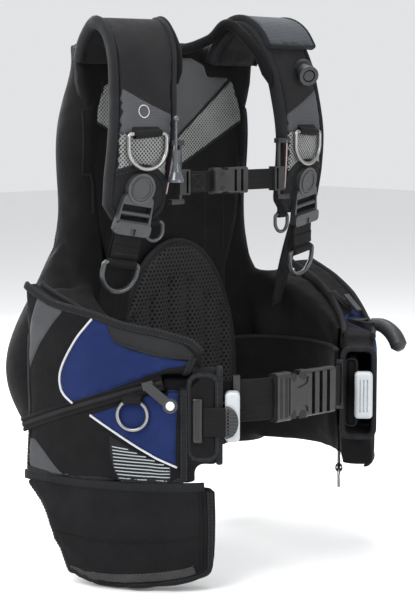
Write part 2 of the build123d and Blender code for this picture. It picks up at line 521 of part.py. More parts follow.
# ---- write every piece ----
pieces = {
    "backpack_plate": [plate],
    "tank_band": [tank_band],
    "cam_buckle_frame": [cam_frame],
    "cam_lever": [cam_lever],
    "air_cell_back": [sheet],
    "back_lining": [lining],
    "lumbar_pad": [lumbar],
    "neck_collar": [neck],
    "carry_handle": [carry_handle],
    "ring_tabs": [shoulder_tab, flip(shoulder_tab), end_tab, flip(end_tab), pocket_tab, low_tab, cord_guide],
    "chest_rails": [rail, flip(rail)],
    "chest_strap_right": [strap_r],
    "chest_strap_left": [strap_l],
    "chest_buckle_socket": [chest_socket],
    "chest_buckle_plug": [chest_plug],
    "dump_toggle": [toggle],
    "waistband": [belt],
    "waist_strap_right": [waist_r],
    "waist_strap_left": [waist_l],
    "waist_strap_keepers": keepers,
    "waist_buckle_socket": [waist_socket],
    "waist_buckle_plug": [waist_plug],
    "pocket_right": [pocket],
    "pocket_left": [left_pocket],
    "drop_pocket": [drop],
    "zippers": [zip_right, zip_left],
    "zip_slider_right": [zip_slider_right],
    "zip_pull_right": [zip_pull_right],
    "zip_slider_left": [zip_slider_left],
    "pocket_ring_right": [pocket_ring],
    "lower_ring_left": [low_ring],
    "weight_pouch_right": [pouch],
    "weight_handle_right": [handle],
    "weight_pouch_left": [flip(left_pouch)],
    "weight_handle_left": [flip(left_handle)],
    "inflator_housing": [inflator_housing],
    "inflator_lever": [inflator_lever],
    "air_valve_bodies": [mouth_body, dump],
    "mouthpiece_button": [mouth_button],
    "shoulder_flap": [flap],
}
mirrored = {
    "air_cell": lobe,
    "shoulder_pad": shoulder_pad,
    "shoulder_ring": shoulder_ring,
    "end_ring": end_ring,
    "swivel": swivel,
    "swivel_button": button,
    "strap_tail": strap_tail,
    "pull_ring": pull_ring,
    "anchor_webbing": anchor,
    "chest_slider": slider,
}
for name, shape in mirrored.items():
    pieces[name + "_right"] = [shape]
    pieces[name + "_left"] = [flip(shape)]
for name, shapes in pieces.items():
    solids = [s for shape in shapes for s in shape.solids()]
    export_step(solids[0] if len(solids) == 1 else Compound(children=solids), f"parts/{name}.step")
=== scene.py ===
import math

import bmesh
import bpy
from mathutils import Matrix, Vector, noise
from mathutils.bvhtree import BVHTree
from mathutils.geometry import delaunay_2d_cdt


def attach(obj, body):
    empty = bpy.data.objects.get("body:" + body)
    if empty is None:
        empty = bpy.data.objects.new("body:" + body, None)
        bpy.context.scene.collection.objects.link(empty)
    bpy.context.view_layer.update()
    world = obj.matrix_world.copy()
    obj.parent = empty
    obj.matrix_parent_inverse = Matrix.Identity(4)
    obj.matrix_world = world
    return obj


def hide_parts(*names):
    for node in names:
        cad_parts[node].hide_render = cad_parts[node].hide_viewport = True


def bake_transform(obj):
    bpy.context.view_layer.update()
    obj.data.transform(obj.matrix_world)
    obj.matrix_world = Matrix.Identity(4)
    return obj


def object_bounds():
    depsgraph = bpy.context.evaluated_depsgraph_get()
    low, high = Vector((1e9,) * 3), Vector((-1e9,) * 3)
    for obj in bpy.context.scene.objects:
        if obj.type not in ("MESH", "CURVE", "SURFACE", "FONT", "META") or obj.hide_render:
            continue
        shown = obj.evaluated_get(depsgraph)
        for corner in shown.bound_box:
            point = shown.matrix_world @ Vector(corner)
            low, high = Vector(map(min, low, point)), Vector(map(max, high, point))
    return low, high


# Buoyancy compensator vest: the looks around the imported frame.
# Lengths in this script are millimetres, and become metres where a mesh is made.
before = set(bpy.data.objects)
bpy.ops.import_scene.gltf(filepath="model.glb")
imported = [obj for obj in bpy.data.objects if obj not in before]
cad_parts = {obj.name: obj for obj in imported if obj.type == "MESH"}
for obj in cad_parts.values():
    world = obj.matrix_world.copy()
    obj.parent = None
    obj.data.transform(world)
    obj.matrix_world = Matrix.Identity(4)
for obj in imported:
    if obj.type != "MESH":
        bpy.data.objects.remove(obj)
cad_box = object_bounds()
MM = 0.001


# ---- small tools ----
def smooth(points, n=6):
    """A Catmull-Rom curve through the points."""
    out = []
    padded = [points[0]] + list(points) + [points[-1]]
    for i in range(1, len(padded) - 2):
        a, b, c, d = padded[i - 1:i + 3]
        for k in range(n):
            t = k / n
            out.append(tuple(
                0.5 * (2 * b[j] + (c[j] - a[j]) * t + (2 * a[j] - 5 * b[j] + 4 * c[j] - d[j]) * t * t
                       + (3 * b[j] - a[j] - 3 * c[j] + d[j]) * t ** 3)
                for j in range(len(b))
            ))
    return out + [tuple(points[-1])]


def even(points, step):
    """The polyline, resampled at about that step."""
    pts = [Vector(p) for p in points]
    lengths = [0.0]
    for a, b in zip(pts, pts[1:]):
        lengths.append(lengths[-1] + (b - a).length)
    count = max(2, round(lengths[-1] / step) + 1)
    out = []
    i = 0
    for k in range(count):
        s = lengths[-1] * k / (count - 1)
        while i < len(pts) - 2 and lengths[i + 1] < s:
            i += 1
        span = max(lengths[i + 1] - lengths[i], 1e-9)
        out.append(pts[i].lerp(pts[i + 1], (s - lengths[i]) / span))
    return out


def interpolate(pairs, x):
    """Straight-line value at x of (x, y) pairs in rising x."""
    if x <= pairs[0][0]:
        return pairs[0][1]
    for (x0, y0), (x1, y1) in zip(pairs, pairs[1:]):
        if x <= x1:
            return y0 + (y1 - y0) * (x - x0) / (x1 - x0)
    return pairs[-1][1]


def flip(point):
    return Vector((-point[0], point[1], point[2]))


def make(name, verts, faces, material, body="vest", uvs=None):
    """A mesh object from points in millimetres, riding on a body. uvs are (across, along) in mm."""
    mesh = bpy.data.meshes.new(name)
    mesh.from_pydata([tuple(Vector(v) * MM) for v in verts], [], faces)
    mesh.materials.append(material)
    if uvs is not None:
        layer = mesh.uv_layers.new(name="weave")
        for loop in mesh.loops:
            layer.data[loop.index].uv = uvs[loop.vertex_index]
    mesh.polygons.foreach_set("use_smooth", [True] * len(mesh.polygons))
    mesh.update()
    obj = bpy.data.objects.new(name, mesh)
    bpy.context.scene.collection.objects.link(obj)
    if body:
        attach(obj, body)
    return obj


def frames(points, ups):
    """Side and up directions along a path."""
    out = []
    for i, p in enumerate(points):
        tangent = points[min(i + 1, len(points) - 1)] - points[max(i - 1, 0)]
        tangent.normalize()
        side = tangent.cross(ups[i])
        side.normalize()
        out.append((side, side.cross(tangent)))
    return out


def oval(width, height, n=12, power=2.0):
    """Closed section: an ellipse at power 2, a rounded strip at higher powers."""
    out = []
    for k in range(n):
        t = 2 * math.pi * k / n
        c, s = math.cos(t), math.sin(t)
        out.append((math.copysign(abs(c) ** (2 / power), c) * width / 2,
                    math.copysign(abs(s) ** (2 / power), s) * height / 2))
    return out


def sweep(points, ups, section, size=None):
    """Verts, faces and uvs of a section swept along a path, with closed ends."""
    n = len(section)
    around = [0.0]
    for a, b in zip(section, section[1:]):
        around.append(around[-1] + math.dist(a, b))
    verts, uvs, faces = [], [], []
    along = 0.0
    for i, (p, (side, up)) in enumerate(zip(points, frames(points, ups))):
        if i:
            along += (p - points[i - 1]).length
        k = size(i / (len(points) - 1)) if size else 1.0
        for j, (a, b) in enumerate(section):
            verts.append(p + side * a * k + up * b * k)
            uvs.append((a, along))
    for i in range(len(points) - 1):
        for j in range(n):
            a, b = i * n + j, i * n + (j + 1) % n
            faces.append((a, b, b + n, a + n))
    faces.append(tuple(reversed(range(n))))
    last = (len(points) - 1) * n
    faces.append(tuple(range(last, last + n)))
    return verts, faces, uvs


def merge(parts):
    """One mesh's verts, faces and uvs from several."""
    verts, faces, uvs = [], [], []
    for v, f, u in parts:
        base = len(verts)
        verts += v
        uvs += u
        faces += [tuple(i + base for i in face) for face in f]
    return verts, faces, uvs


def path_piece(name, points, ups, section, material, body="vest", size=None):
    """A piece swept along a path."""
    verts, faces, uvs = sweep(points, ups, section, size)
    return make(name, verts, faces, material, body, uvs)


# ---- materials ----
class Nodes:
    """A material's node tree, with short calls for the nodes used here."""

    def __init__(self, name, rough, metal=0.0):
        self.mat = bpy.data.materials.new(name)
        self.mat.use_nodes = True
        self.tree = self.mat.node_tree
        self.shader = self.tree.nodes["Principled BSDF"]
        self.shader.inputs["Roughness"].default_value = rough
        self.shader.inputs["Metallic"].default_value = metal

    def new(self, kind, **sockets):
        node = self.tree.nodes.new(kind)
        for key, value in sockets.items():
            self.put(node.inputs[key], value)
        return node

    def put(self, socket, value):
        if isinstance(value, bpy.types.NodeSocket):
            self.tree.links.new(value, socket)
        else:
            socket.default_value = value

    def math(self, op, a, b=0.0):
        node = self.tree.nodes.new("ShaderNodeMath")
        node.operation = op
        self.put(node.inputs[0], a)
        self.put(node.inputs[1], b)
        return node.outputs[0]

    def coords(self):
        return self.tree.nodes.new("ShaderNodeTexCoord").outputs["Object"]

    def weave_uv(self):
        node = self.tree.nodes.new("ShaderNodeUVMap")
        node.uv_map = "weave"
        split = self.tree.nodes.new("ShaderNodeSeparateXYZ")
        self.tree.links.new(node.outputs[0], split.inputs[0])
        return split.outputs[0], split.outputs[1]

    def noise(self, scale, detail=3.0, stretch=None):
        vector = self.coords()
        if stretch:
            mapping = self.new("ShaderNodeMapping", Vector=vector)
            mapping.inputs["Scale"].default_value = stretch
            vector = mapping.outputs[0]
        node = self.new("ShaderNodeTexNoise", Vector=vector, Scale=scale, Detail=detail)
        return node.outputs["Fac"]

    def ramp(self, value, low, high, out_low=0.0, out_high=1.0):
        node = self.new("ShaderNodeMapRange", Value=value)
        for key, x in (("From Min", low), ("From Max", high), ("To Min", out_low), ("To Max", out_high)):
            node.inputs[key].default_value = x
        return node.outputs[0]

    def mix(self, factor, a, b):
        node = self.tree.nodes.new("ShaderNodeMix")
        node.data_type = "RGBA"
        self.put(node.inputs["Factor"], factor)
        self.put(node.inputs[6], a)
        self.put(node.inputs[7], b)
        return node.outputs[2]

    def bump(self, height, distance, under=None):
        node = self.new("ShaderNodeBump", Height=height, Distance=distance)
        if under is not None:
            self.tree.links.new(under, node.inputs["Normal"])
        return node.outputs[0]


def rgba(colour):
    return (*colour, 1.0)


def wave(n, value, period):
    """0 to 1 sine of that period in millimetres."""
    return n.ramp(n.math("SINE", n.math("MULTIPLY", value, 2 * math.pi / period)), -1, 1)


def weave_pattern(n, kind, period):
    """Height of the cloth's threads, 0 to 1."""
    u, v = n.weave_uv()
    if kind == "twill":
        diagonal = n.math("ADD", n.math("MULTIPLY", u, 0.75), v)
        return n.math("ADD", n.math("MULTIPLY", wave(n, diagonal, period), 0.7),
                      n.math("MULTIPLY", wave(n, n.math("SUBTRACT", u, v), period * 0.9), 0.3))
    if kind == "rib":
        return n.math("ADD", n.math("MULTIPLY", wave(n, v, period), 0.75),
                      n.math("MULTIPLY", wave(n, u, period * 0.7), 0.25))
    if kind == "webbing":
        herring = n.math("ADD", v, n.math("MULTIPLY", n.math("PINGPONG", u, 4.0), 1.0))
        return n.math("ADD", n.math("MULTIPLY", wave(n, herring, period), 0.6),
                      n.math("MULTIPLY", wave(n, u, period * 1.3), 0.4))
    if kind == "lattice":
        a = n.math("ABSOLUTE", n.math("SINE", n.math("MULTIPLY", n.math("ADD", u, v), math.pi / period)))
        b = n.math("ABSOLUTE", n.math("SINE", n.math("MULTIPLY", n.math("SUBTRACT", u, v), math.pi / period)))
        return n.ramp(n.math("MINIMUM", a, b), 0.62, 0.3)
    if kind == "hexagons":
        waves = [n.math("COSINE", n.math("MULTIPLY", n.math("ADD", n.math("MULTIPLY", u, math.cos(t)),
                                                             n.math("MULTIPLY", v, math.sin(t))),
                                         2 * math.pi / period))
                 for t in (math.pi / 6, math.pi / 2, 5 * math.pi / 6)]
        return n.ramp(n.math("ADD", n.math("ADD", waves[0], waves[1]), waves[2]), 1.2, 0.1)
    return n.math("MULTIPLY", wave(n, u, period), wave(n, v, period))


def fabric(name, colour, kind="twill", period=1.6, depth=0.25, rough=0.8, sheen=0.15, dark=0.55, wrinkle=0.5,
           second=None):
    """Cloth: threads from the weave map, uneven dye, wrinkles, and a little sheen."""
    n = Nodes(name, rough)
    n.shader.inputs["Sheen Weight"].default_value = sheen
    n.shader.inputs["Sheen Roughness"].default_value = 0.4
    n.shader.inputs["Specular IOR Level"].default_value = 0.07
    threads = weave_pattern(n, kind, period)
    blotches = n.noise(22.0)
    low = second if second else tuple(c * dark for c in colour)
    woven = n.mix(threads, rgba(low), rgba(colour))
    faded = n.mix(n.ramp(blotches, 0.42, 0.75, 0.0, 0.28), woven,
                  rgba(tuple(min(1, c * 1.35 + 0.003) for c in colour)))
    n.put(n.shader.inputs["Base Color"], faded)
    n.put(n.shader.inputs["Roughness"], n.ramp(n.noise(60.0), 0.3, 0.7, rough - 0.1, min(1.0, rough + 0.08)))
    folds = n.bump(n.noise(34.0, 4.0), wrinkle * 4 * MM)
    n.put(n.shader.inputs["Normal"], n.bump(threads, depth * MM, folds))
    return n.mat


def plastic(name, colour, rough=0.42, grain=900.0, depth=0.05, coat=0.0, wear=0.35):
    """Moulded plastic: fine grain, uneven gloss, and paler rubbed edges."""
    n = Nodes(name, rough)
    n.shader.inputs["Coat Weight"].default_value = coat
    edge = n.ramp(n.tree.nodes.new("ShaderNodeNewGeometry").outputs["Pointiness"], 0.51, 0.58)
    rubbed = n.math("MULTIPLY", edge, n.ramp(n.noise(70.0), 0.35, 0.7, 0.0, wear))
    pale = tuple(min(1.0, c * 1.8 + 0.02) for c in colour)
    mottled = n.mix(n.ramp(n.noise(40.0), 0.3, 0.7, 0.0, 1.0), rgba(tuple(c * 0.85 for c in colour)),
                    rgba(colour))
    n.put(n.shader.inputs["Base Color"], n.mix(rubbed, mottled, rgba(pale)))
    n.put(n.shader.inputs["Roughness"], n.ramp(n.noise(130.0), 0.3, 0.7, rough - 0.07, rough + 0.1))
    n.put(n.shader.inputs["Normal"], n.bump(n.noise(grain, 2.0), depth * MM))
    return n.mat


def metal(name, colour, rough=0.22):
    """Polished wire with fine drawn lines and dull patches."""
    n = Nodes(name, rough, 1.0)
    n.put(n.shader.inputs["Base Color"], n.mix(n.noise(45.0), rgba(tuple(c * 0.86 for c in colour)),
                                               rgba(colour)))
    n.put(n.shader.inputs["Roughness"], n.ramp(n.noise(200.0, 4.0), 0.3, 0.7, rough - 0.07, rough + 0.14))
    n.put(n.shader.inputs["Normal"], n.bump(n.noise(500.0, 2.0, (1.0, 1.0, 0.1)), 0.03 * MM))
    return n.mat


nylon = fabric("black_nylon", (0.0085, 0.0085, 0.0093), "twill", 1.5, 0.22, 0.72, 0.02)
ribbed = fabric("black_ribbed", (0.019, 0.019, 0.0202), "twill", 2.4, 0.45, 0.7, 0.03, 0.4)
soft_black = fabric("neoprene_black", (0.0075, 0.0075, 0.008), "plain", 0.9, 0.1, 0.88, 0.05)
charcoal = fabric("charcoal_rib", (0.07, 0.071, 0.076), "rib", 1.7, 0.3, 0.8, 0.08, 0.72)
satin = fabric("grey_satin", (0.075, 0.076, 0.08), "plain", 0.8, 0.06, 0.46, 0.12, 0.85, 1.6)
navy = fabric("navy_cloth", (0.0135, 0.025, 0.098), "plain", 1.4, 0.25, 0.78, 0.04, 0.62)
grey_cloth = fabric("grey_cloth", (0.066, 0.068, 0.072), "plain", 1.0, 0.15, 0.75, 0.08, 0.8)
silver_mesh = fabric("silver_mesh", (0.27, 0.28, 0.27), "lattice", 4.8, 0.5, 0.55, 0.1,
                     second=(0.03, 0.03, 0.03))
spacer = fabric("spacer_mesh", (0.021, 0.021, 0.022), "hexagons", 5.0, 1.3, 0.75, 0.05,
                second=(0.003, 0.003, 0.003))
webbing = fabric("webbing", (0.0115, 0.0115, 0.012), "webbing", 2.2, 0.4, 0.6, 0.03, 0.45, 0.2)
binding = fabric("binding_tape", (0.016, 0.0165, 0.018), "rib", 1.2, 0.25, 0.7, 0.04, 0.55, 0.3)
flap_cloth = fabric("flap_cloth", (0.06, 0.066, 0.074), "rib", 1.8, 0.35, 0.55, 0.05, 0.6, 0.3)
thread = fabric("thread", (0.035, 0.035, 0.038), "plain", 0.4, 0.05, 0.6, 0.1, 0.8, 0.0)
pale_thread = fabric("pale_piping", (0.5, 0.51, 0.53), "rib", 0.9, 0.12, 0.5, 0.1, 0.8, 0.1)
pink_thread = fabric("rail_piping", (0.42, 0.33, 0.32), "rib", 0.9, 0.12, 0.5, 0.1, 0.8, 0.1)
coil = fabric("zip_coil", (0.045, 0.045, 0.047), "rib", 1.1, 0.2, 0.45, 0.0, 0.6, 0.0)
hard = plastic("hard_black", (0.0095, 0.0095, 0.0105), 0.34)
satin_hard = plastic("satin_charcoal", (0.026, 0.027, 0.0285), 0.34, 700.0, 0.04, 0.1)
coated = plastic("coated_ring", (0.028, 0.031, 0.034), 0.3, 300.0, 0.03, 0.35)
pale_grey = plastic("pale_grey_plastic", (0.42, 0.445, 0.46), 0.36, 600.0, 0.04, 0.15, 0.15)
rubber = plastic("dark_rubber", (0.013, 0.014, 0.016), 0.5, 400.0, 0.1, 0.0)
smoky = plastic("smoky_rubber", (0.045, 0.052, 0.06), 0.24, 200.0, 0.02, 0.5)
white_cap = plastic("white_cap", (0.62, 0.62, 0.62), 0.35, 600.0, 0.02, 0.2, 0.1)
steel = metal("stainless", (0.3, 0.295, 0.285), 0.3)

CARRIED = {
    hard: ["backpack_plate", "cam_buckle_frame", "cam_lever", "chest_slider_right", "chest_slider_left",
           "chest_buckle_socket", "chest_buckle_plug", "waist_buckle_socket", "waist_buckle_plug",
           "waist_strap_keepers", "chest_rails", "inflator_housing"],
    satin_hard: ["swivel_right", "swivel_left", "swivel_button_right", "swivel_button_left",
                 "zip_slider_right",
                 "zip_slider_left"],
    coated: ["pull_ring_right", "pull_ring_left", "end_ring_right", "end_ring_left"],
    steel: ["shoulder_ring_right", "shoulder_ring_left", "pocket_ring_right", "lower_ring_left"],
    pale_grey: ["weight_handle_right", "weight_handle_left"],
    rubber: ["air_valve_bodies", "mouthpiece_button", "zip_pull_right"],
    smoky: ["dump_toggle"],
}
for material, nodes in CARRIED.items():
    for node in nodes:
        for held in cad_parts[node].material_slots:
            held.material = material


# ---- soft shells: a CAD solid is remeshed, blown up as cloth, and eased back ----
SMOOTH_ROUNDS = 3
CLOTH_FRAMES = 20
CLOTH_PRESSURE = 4.0
CLOTH_STIFFNESS = 18


def soft_shell(name, node, material, uv, voxel, start, cap, body="vest"):
    """A padded piece from a node's solid: voxels of that size, shrunk by start, blown up by at most cap."""
    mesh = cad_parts[node].data.copy()
    mesh.materials.clear()
    obj = bpy.data.objects.new(name, mesh)
    bpy.context.scene.collection.objects.link(obj)
    remesh = obj.modifiers.new("remesh", "REMESH")
    remesh.mode = "VOXEL"
    remesh.voxel_size = voxel * MM
    settle(obj)
    bm = bmesh.new()
    bm.from_mesh(obj.data)
    for _ in range(SMOOTH_ROUNDS):
        bmesh.ops.smooth_vert(bm, verts=bm.verts, factor=0.5, use_axis_x=True, use_axis_y=True,
                              use_axis_z=True)
    bm.normal_update()
    for v in bm.verts:
        v.co -= v.normal * start * MM
    bm.to_mesh(obj.data)
    bm.free()
    inflate(obj, cap * MM)
    subdivide = obj.modifiers.new("subdivide", "SUBSURF")
    subdivide.levels = 1
    settle(obj)
    obj.data.materials.append(material)
    layer = obj.data.uv_layers.new(name="weave")
    places = [uv(v.co / MM) for v in obj.data.vertices]
    for loop in obj.data.loops:
        layer.data[loop.index].uv = places[loop.vertex_index]
    obj.data.polygons.foreach_set("use_smooth", [True] * len(obj.data.polygons))
    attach(obj, body)
    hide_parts(node)
    return obj


def settle(obj):
    """Applies the modifiers, so none is left on the piece."""
    graph = bpy.context.evaluated_depsgraph_get()
    mesh = bpy.data.meshes.new_from_object(obj.evaluated_get(graph))
    obj.modifiers.clear()
    obj.data = mesh


def inflate(obj, cap):
    """Blows the shell up as cloth, and caps how far a point moves."""
    rest = [v.co.copy() for v in obj.data.vertices]
    cloth = obj.modifiers.new("cloth", "CLOTH")
    cloth.settings.quality = 4
    cloth.settings.use_pressure = True
    cloth.settings.uniform_pressure_force = CLOTH_PRESSURE
    cloth.settings.tension_stiffness = CLOTH_STIFFNESS
    cloth.settings.compression_stiffness = CLOTH_STIFFNESS
    cloth.settings.effector_weights.gravity = 0
    scene = bpy.context.scene
    for number in range(1, CLOTH_FRAMES + 1):
        scene.frame_set(number)
    settle(obj)
    scene.frame_set(1)
    for v, start in zip(obj.data.vertices, rest):
        move = v.co - start
        if move.length > cap:
            v.co = start + move * (cap / move.length)


# ---- skins: a point on a finished soft piece, from two flat coordinates in millimetres ----
class Skin:
    """The outside of finished pieces: ray(u, v) looks at a place, flat(u, v) maps it in mm."""

    def __init__(self, objects, ray, flat):
        self.trees = []
        for obj in objects:
            matrix = obj.matrix_world
            verts = [matrix @ v.co / MM for v in obj.data.vertices]
            self.trees.append(BVHTree.FromPolygons(verts, [tuple(p.vertices) for p in obj.data.polygons]))
        self.ray = ray
        self.flat = flat

    def at(self, u, v, lift=0.0):
        """The point lift outside the skin, and the skin's normal there."""
        origin, direction = self.ray(u, v)
        hits = [tree.ray_cast(origin, direction, 120.0) for tree in self.trees]
        hits = [h for h in hits if h[0] is not None]
        if hits:
            hit = min(hits, key=lambda h: h[3])
        else:
            middle = origin + direction * 60
            hit = min((tree.find_nearest(middle) for tree in self.trees), key=lambda h: h[3])
        normal = hit[1] if hit[1].dot(direction) < 0 else -hit[1]
        normal = (normal - direction).normalized()
        return hit[0] + normal * lift, normal

    def path(self, points, step=4.0, lift=0.0, rounded=True):
        """Even points along a line drawn on the skin, with their normals."""
        line = smooth(points, 8) if rounded and len(points) > 2 else points
        flat = [self.flat(*p) for p in line]
        scale = even([(a, b, 0) for a, b in flat], step)
        places = [self.at(*self.unflat(p.x, p.y), lift) for p in scale]
        return [p for p, _ in places], [nrm for _, nrm in places]

    def unflat(self, a, b):
        return a / self.flat(1, 0)[0], b / self.flat(0, 1)[1]


def level_skin(obj, y, way):
    """The skin of a piece as seen along Y from that place, forward (-1) or back (1), in x and z."""
    return Skin([obj], lambda x, z: (Vector((x, y, z)), Vector((0, way, 0))), lambda x, z: (x, z))


def tape(name, skin, points, width, thick=1.2, material=None, lift=0.2, rounded=True, stitched=True):
    """A strip of binding that follows a line on a skin, with a seam along each edge."""
    line, normals = skin.path(points, 4.0, lift, rounded)
    path_piece(name, line, normals, oval(width, thick * 2, 12, 3.4), material or binding)
    if stitched:
        for k, off in enumerate((-0.34, 0.34)):
            stitches(f"{name}_seam_{k}", offset(line, normals, width * off), normals, thick * 1.02)


STITCH_LENGTH = 2.6
STITCH_GAP = 1.6
STITCH_WIDTH = 0.7


def offset(line, normals, distance):
    return [p + side * distance for p, (side, _) in zip(line, frames(line, normals))]


def stitches(name, line, normals, lift=0.3, body="vest"):
    """A row of sewn stitches along a line of points: each is a short three-sided bar."""
    marks = [0.0]
    for a, b in zip(line, line[1:]):
        marks.append(marks[-1] + (b - a).length)
    verts, faces, uvs = [], [], []
    s = STITCH_GAP
    i = 0
    while s + STITCH_LENGTH < marks[-1]:
        ends = []
        for at in (s, s + STITCH_LENGTH):
            while marks[i + 1] < at:
                i += 1
            t = (at - marks[i]) / max(marks[i + 1] - marks[i], 1e-9)
            ends.append((line[i].lerp(line[i + 1], t), normals[i].lerp(normals[i + 1], t).normalized()))
        along = (ends[1][0] - ends[0][0]).normalized()
        side = along.cross(ends[0][1]).normalized() * STITCH_WIDTH / 2
        base = len(verts)
        for p, up in ends:
            top = p + up * lift
            verts += [top + side - up * 0.2, top + up * 0.28, top - side - up * 0.2]
            uvs += [(0, s), (1, s), (2, s)]
        faces += [(base, base + 1, base + 4, base + 3), (base + 1, base + 2, base + 5, base + 4),
                  (base, base + 2, base + 1), (base + 3, base + 4, base + 5),
                  (base, base + 3, base + 5, base + 2)]
        s += STITCH_LENGTH + STITCH_GAP
    if verts:
        make(name, verts, faces, thread, body, uvs)


def fill_outline(outline, step, last=0):
    """Points and triangles that fill an outline, its edge points, and each point's distance to the edge."""
    closed = [Vector(p) for p in outline]
    edge = [p.to_2d() for p in even([(p.x, p.y, 0) for p in closed + closed[:1]], step)][:-1]
    xs, ys = [p.x for p in edge], [p.y for p in edge]
    inside = []
    for r in range(1, int((max(ys) - min(ys)) / step) + last):
        for c in range(1, int((max(xs) - min(xs)) / step) + last):
            p = Vector((min(xs) + (c + 0.5 * (r % 2)) * step, min(ys) + r * step))
            if within(p, edge) and min((p - q).length for q in edge) > step * 0.55:
                inside.append(p)
    points, _, triangles, _, _, _ = delaunay_2d_cdt(edge + inside, [], [list(range(len(edge)))], 1, 1e-4)
    near = [min((p - q).length for q in edge) for p in points]
    rim = sorted((i for i in range(len(points)) if near[i] < 1e-3),
                 key=lambda i: min(range(len(edge)), key=lambda k: (points[i] - edge[k]).length))
    return points, [tuple(t) for t in triangles], near, rim


def skirt(rim, base):
    """Faces from the rim, in order round the outline, to a second row whose k-th point is base(k)."""
    count = len(rim)
    return [(rim[k], rim[(k + 1) % count], base((k + 1) % count), base(k)) for k in range(count)]


def patch(name, skin, outline, material, lift=0.9, step=6.0, body="vest", puff=0.0):
    """A cut panel that lies on a skin: its edge goes down into the skin."""
    points, faces, near, rim = fill_outline([skin.flat(*p) for p in outline], step, 1)
    verts = []
    for p, distance in zip(points, near):
        height = lift * (0.35 if distance < 0.5 else 1.0) + puff * min(1.0, distance / 18.0)
        verts.append(skin.at(*skin.unflat(p.x, p.y), height)[0])
    base = len(verts)
    verts += [skin.at(*skin.unflat(points[v].x, points[v].y), -1.5)[0] for v in rim]
    faces += skirt(rim, lambda k: base + k)
    uvs = [(p.x, p.y) for p in points] + [(points[v].x, points[v].y) for v in rim]
    obj = make(name, verts, faces, material, body, uvs)
    fix_normals(obj)


def fix_normals(obj):
    """Turns every face outward."""
    bm = bmesh.new()
    bm.from_mesh(obj.data)
    bmesh.ops.recalc_face_normals(bm, faces=bm.faces)
    bm.to_mesh(obj.data)
    bm.free()


def within(p, polygon):
    """Whether the point is inside the polygon."""
    inside = False
    for a, b in zip(polygon, polygon[1:] + polygon[:1]):
        if (a.y > p.y) != (b.y > p.y) and p.x < (b.x - a.x) * (p.y - a.y) / (b.y - a.y) + a.x:
            inside = not inside
    return inside


# ---- the vest's own curves, as the frame has them ----
SIDE_C = Vector((-8.0, -130.0, 0.0))
SIDE_R = 228.0
LEFT_R = 244.0
TOP_EDGE = [(-300, -12), (-260, -1), (-215, 25), (-170, 45), (-125, 62), (-100, 85), (-60, 92)]
PAD_C = Vector((-133.0, -215.0, 0.0))
PAD_TURN = Matrix.Translation(PAD_C) @ Matrix.Rotation(math.radians(-8.7), 4, "Z")
PAD_T = 14.0
PAD_LINE = smooth([(100, 318), (90, 346), (62, 369), (34, 360), (14, 326), (4, 280), (0, 235), (5, 187),
                   (14, 137)], 6)
PAD_POINTS = [Vector((0.0, y, z)) for y, z in PAD_LINE]
PAD_LENGTHS = [0.0]
for a, b in zip(PAD_POINTS, PAD_POINTS[1:]):
    PAD_LENGTHS.append(PAD_LENGTHS[-1] + (b - a).length)
PAD_END = PAD_LENGTHS[-1]
PAD_INNER = [(138, 16), (152, 32), (190, 37), (239, 42), (300, 48), (340, 56), (394, 60)]
PAD_OUTER = [(138, -30), (156, -44), (190, -45), (239, -42), (300, -36), (340, -32), (394, -30)]


def side_dir(angle, side):
    t = math.radians(angle)
    return Vector((math.cos(t) * side, math.sin(t), 0.0))


def side_point(angle, radius, z, side=1):
    """side is 1 on the wearer's right and -1 on the left."""
    c = Vector((SIDE_C.x * side, SIDE_C.y, 0.0))
    return c + side_dir(angle, side) * radius + Vector((0, 0, z))


def side_ray(side):
    return lambda a, z: (side_point(a, 300.0, z, side), -side_dir(a, side))


def side_flat(a, z):
    """Angle and height on a side wing, unrolled to millimetres."""
    return (a * math.radians(1) * SIDE_R, z)


def side_uv(side):
    def uv(p):
        a = math.degrees(math.atan2(p.y - SIDE_C.y, p.x * side - SIDE_C.x)) % 360
        return (a * math.radians(1) * SIDE_R, p.z)
    return uv


def top_z(angle, radius=SIDE_R):
    """Height of the pockets' top edge."""
    return interpolate(TOP_EDGE, SIDE_C.y + radius * math.sin(math.radians(angle)))


def pad_mid(x, s, side=1):
    """Point on the middle surface of a pad, x across and s along it from the back, and the outward normal."""
    s = min(max(s, 0.0), PAD_END)
    i = 0
    while i < len(PAD_POINTS) - 2 and PAD_LENGTHS[i + 1] < s:
        i += 1
    t = (s - PAD_LENGTHS[i]) / (PAD_LENGTHS[i + 1] - PAD_LENGTHS[i])
    p = PAD_POINTS[i].lerp(PAD_POINTS[i + 1], t)
    before, after = PAD_POINTS[max(i - 1, 0)], PAD_POINTS[min(i + 2, len(PAD_POINTS) - 1)]
    run = (after - before).normalized()
    normal = PAD_TURN.to_3x3() @ Vector((0.0, run.z, -run.y))
    place = PAD_TURN @ Vector((x, p.y, p.z))
    if side < 0:
        return flip(place), flip(normal), p
    return place, normal, p


def pad_edge(table, s):
    """How far a pad's edge is from its middle line, s along it."""
    _, _, p = pad_mid(0, s)
    return interpolate(table, p.z) if p.y < 62 else table[-1][1]


def pad_ray(side):
    def ray(x, s):
        p, normal, _ = pad_mid(x, s, side)
        return p + normal * 40, -normal
    return ray


def pad_uv(side):
    def uv(p):
        local = PAD_TURN.inverted() @ (p if side > 0 else flip(p))
        return (local.x, local.z)
    return uv


SIDES = (("right", 1), ("left", -1))


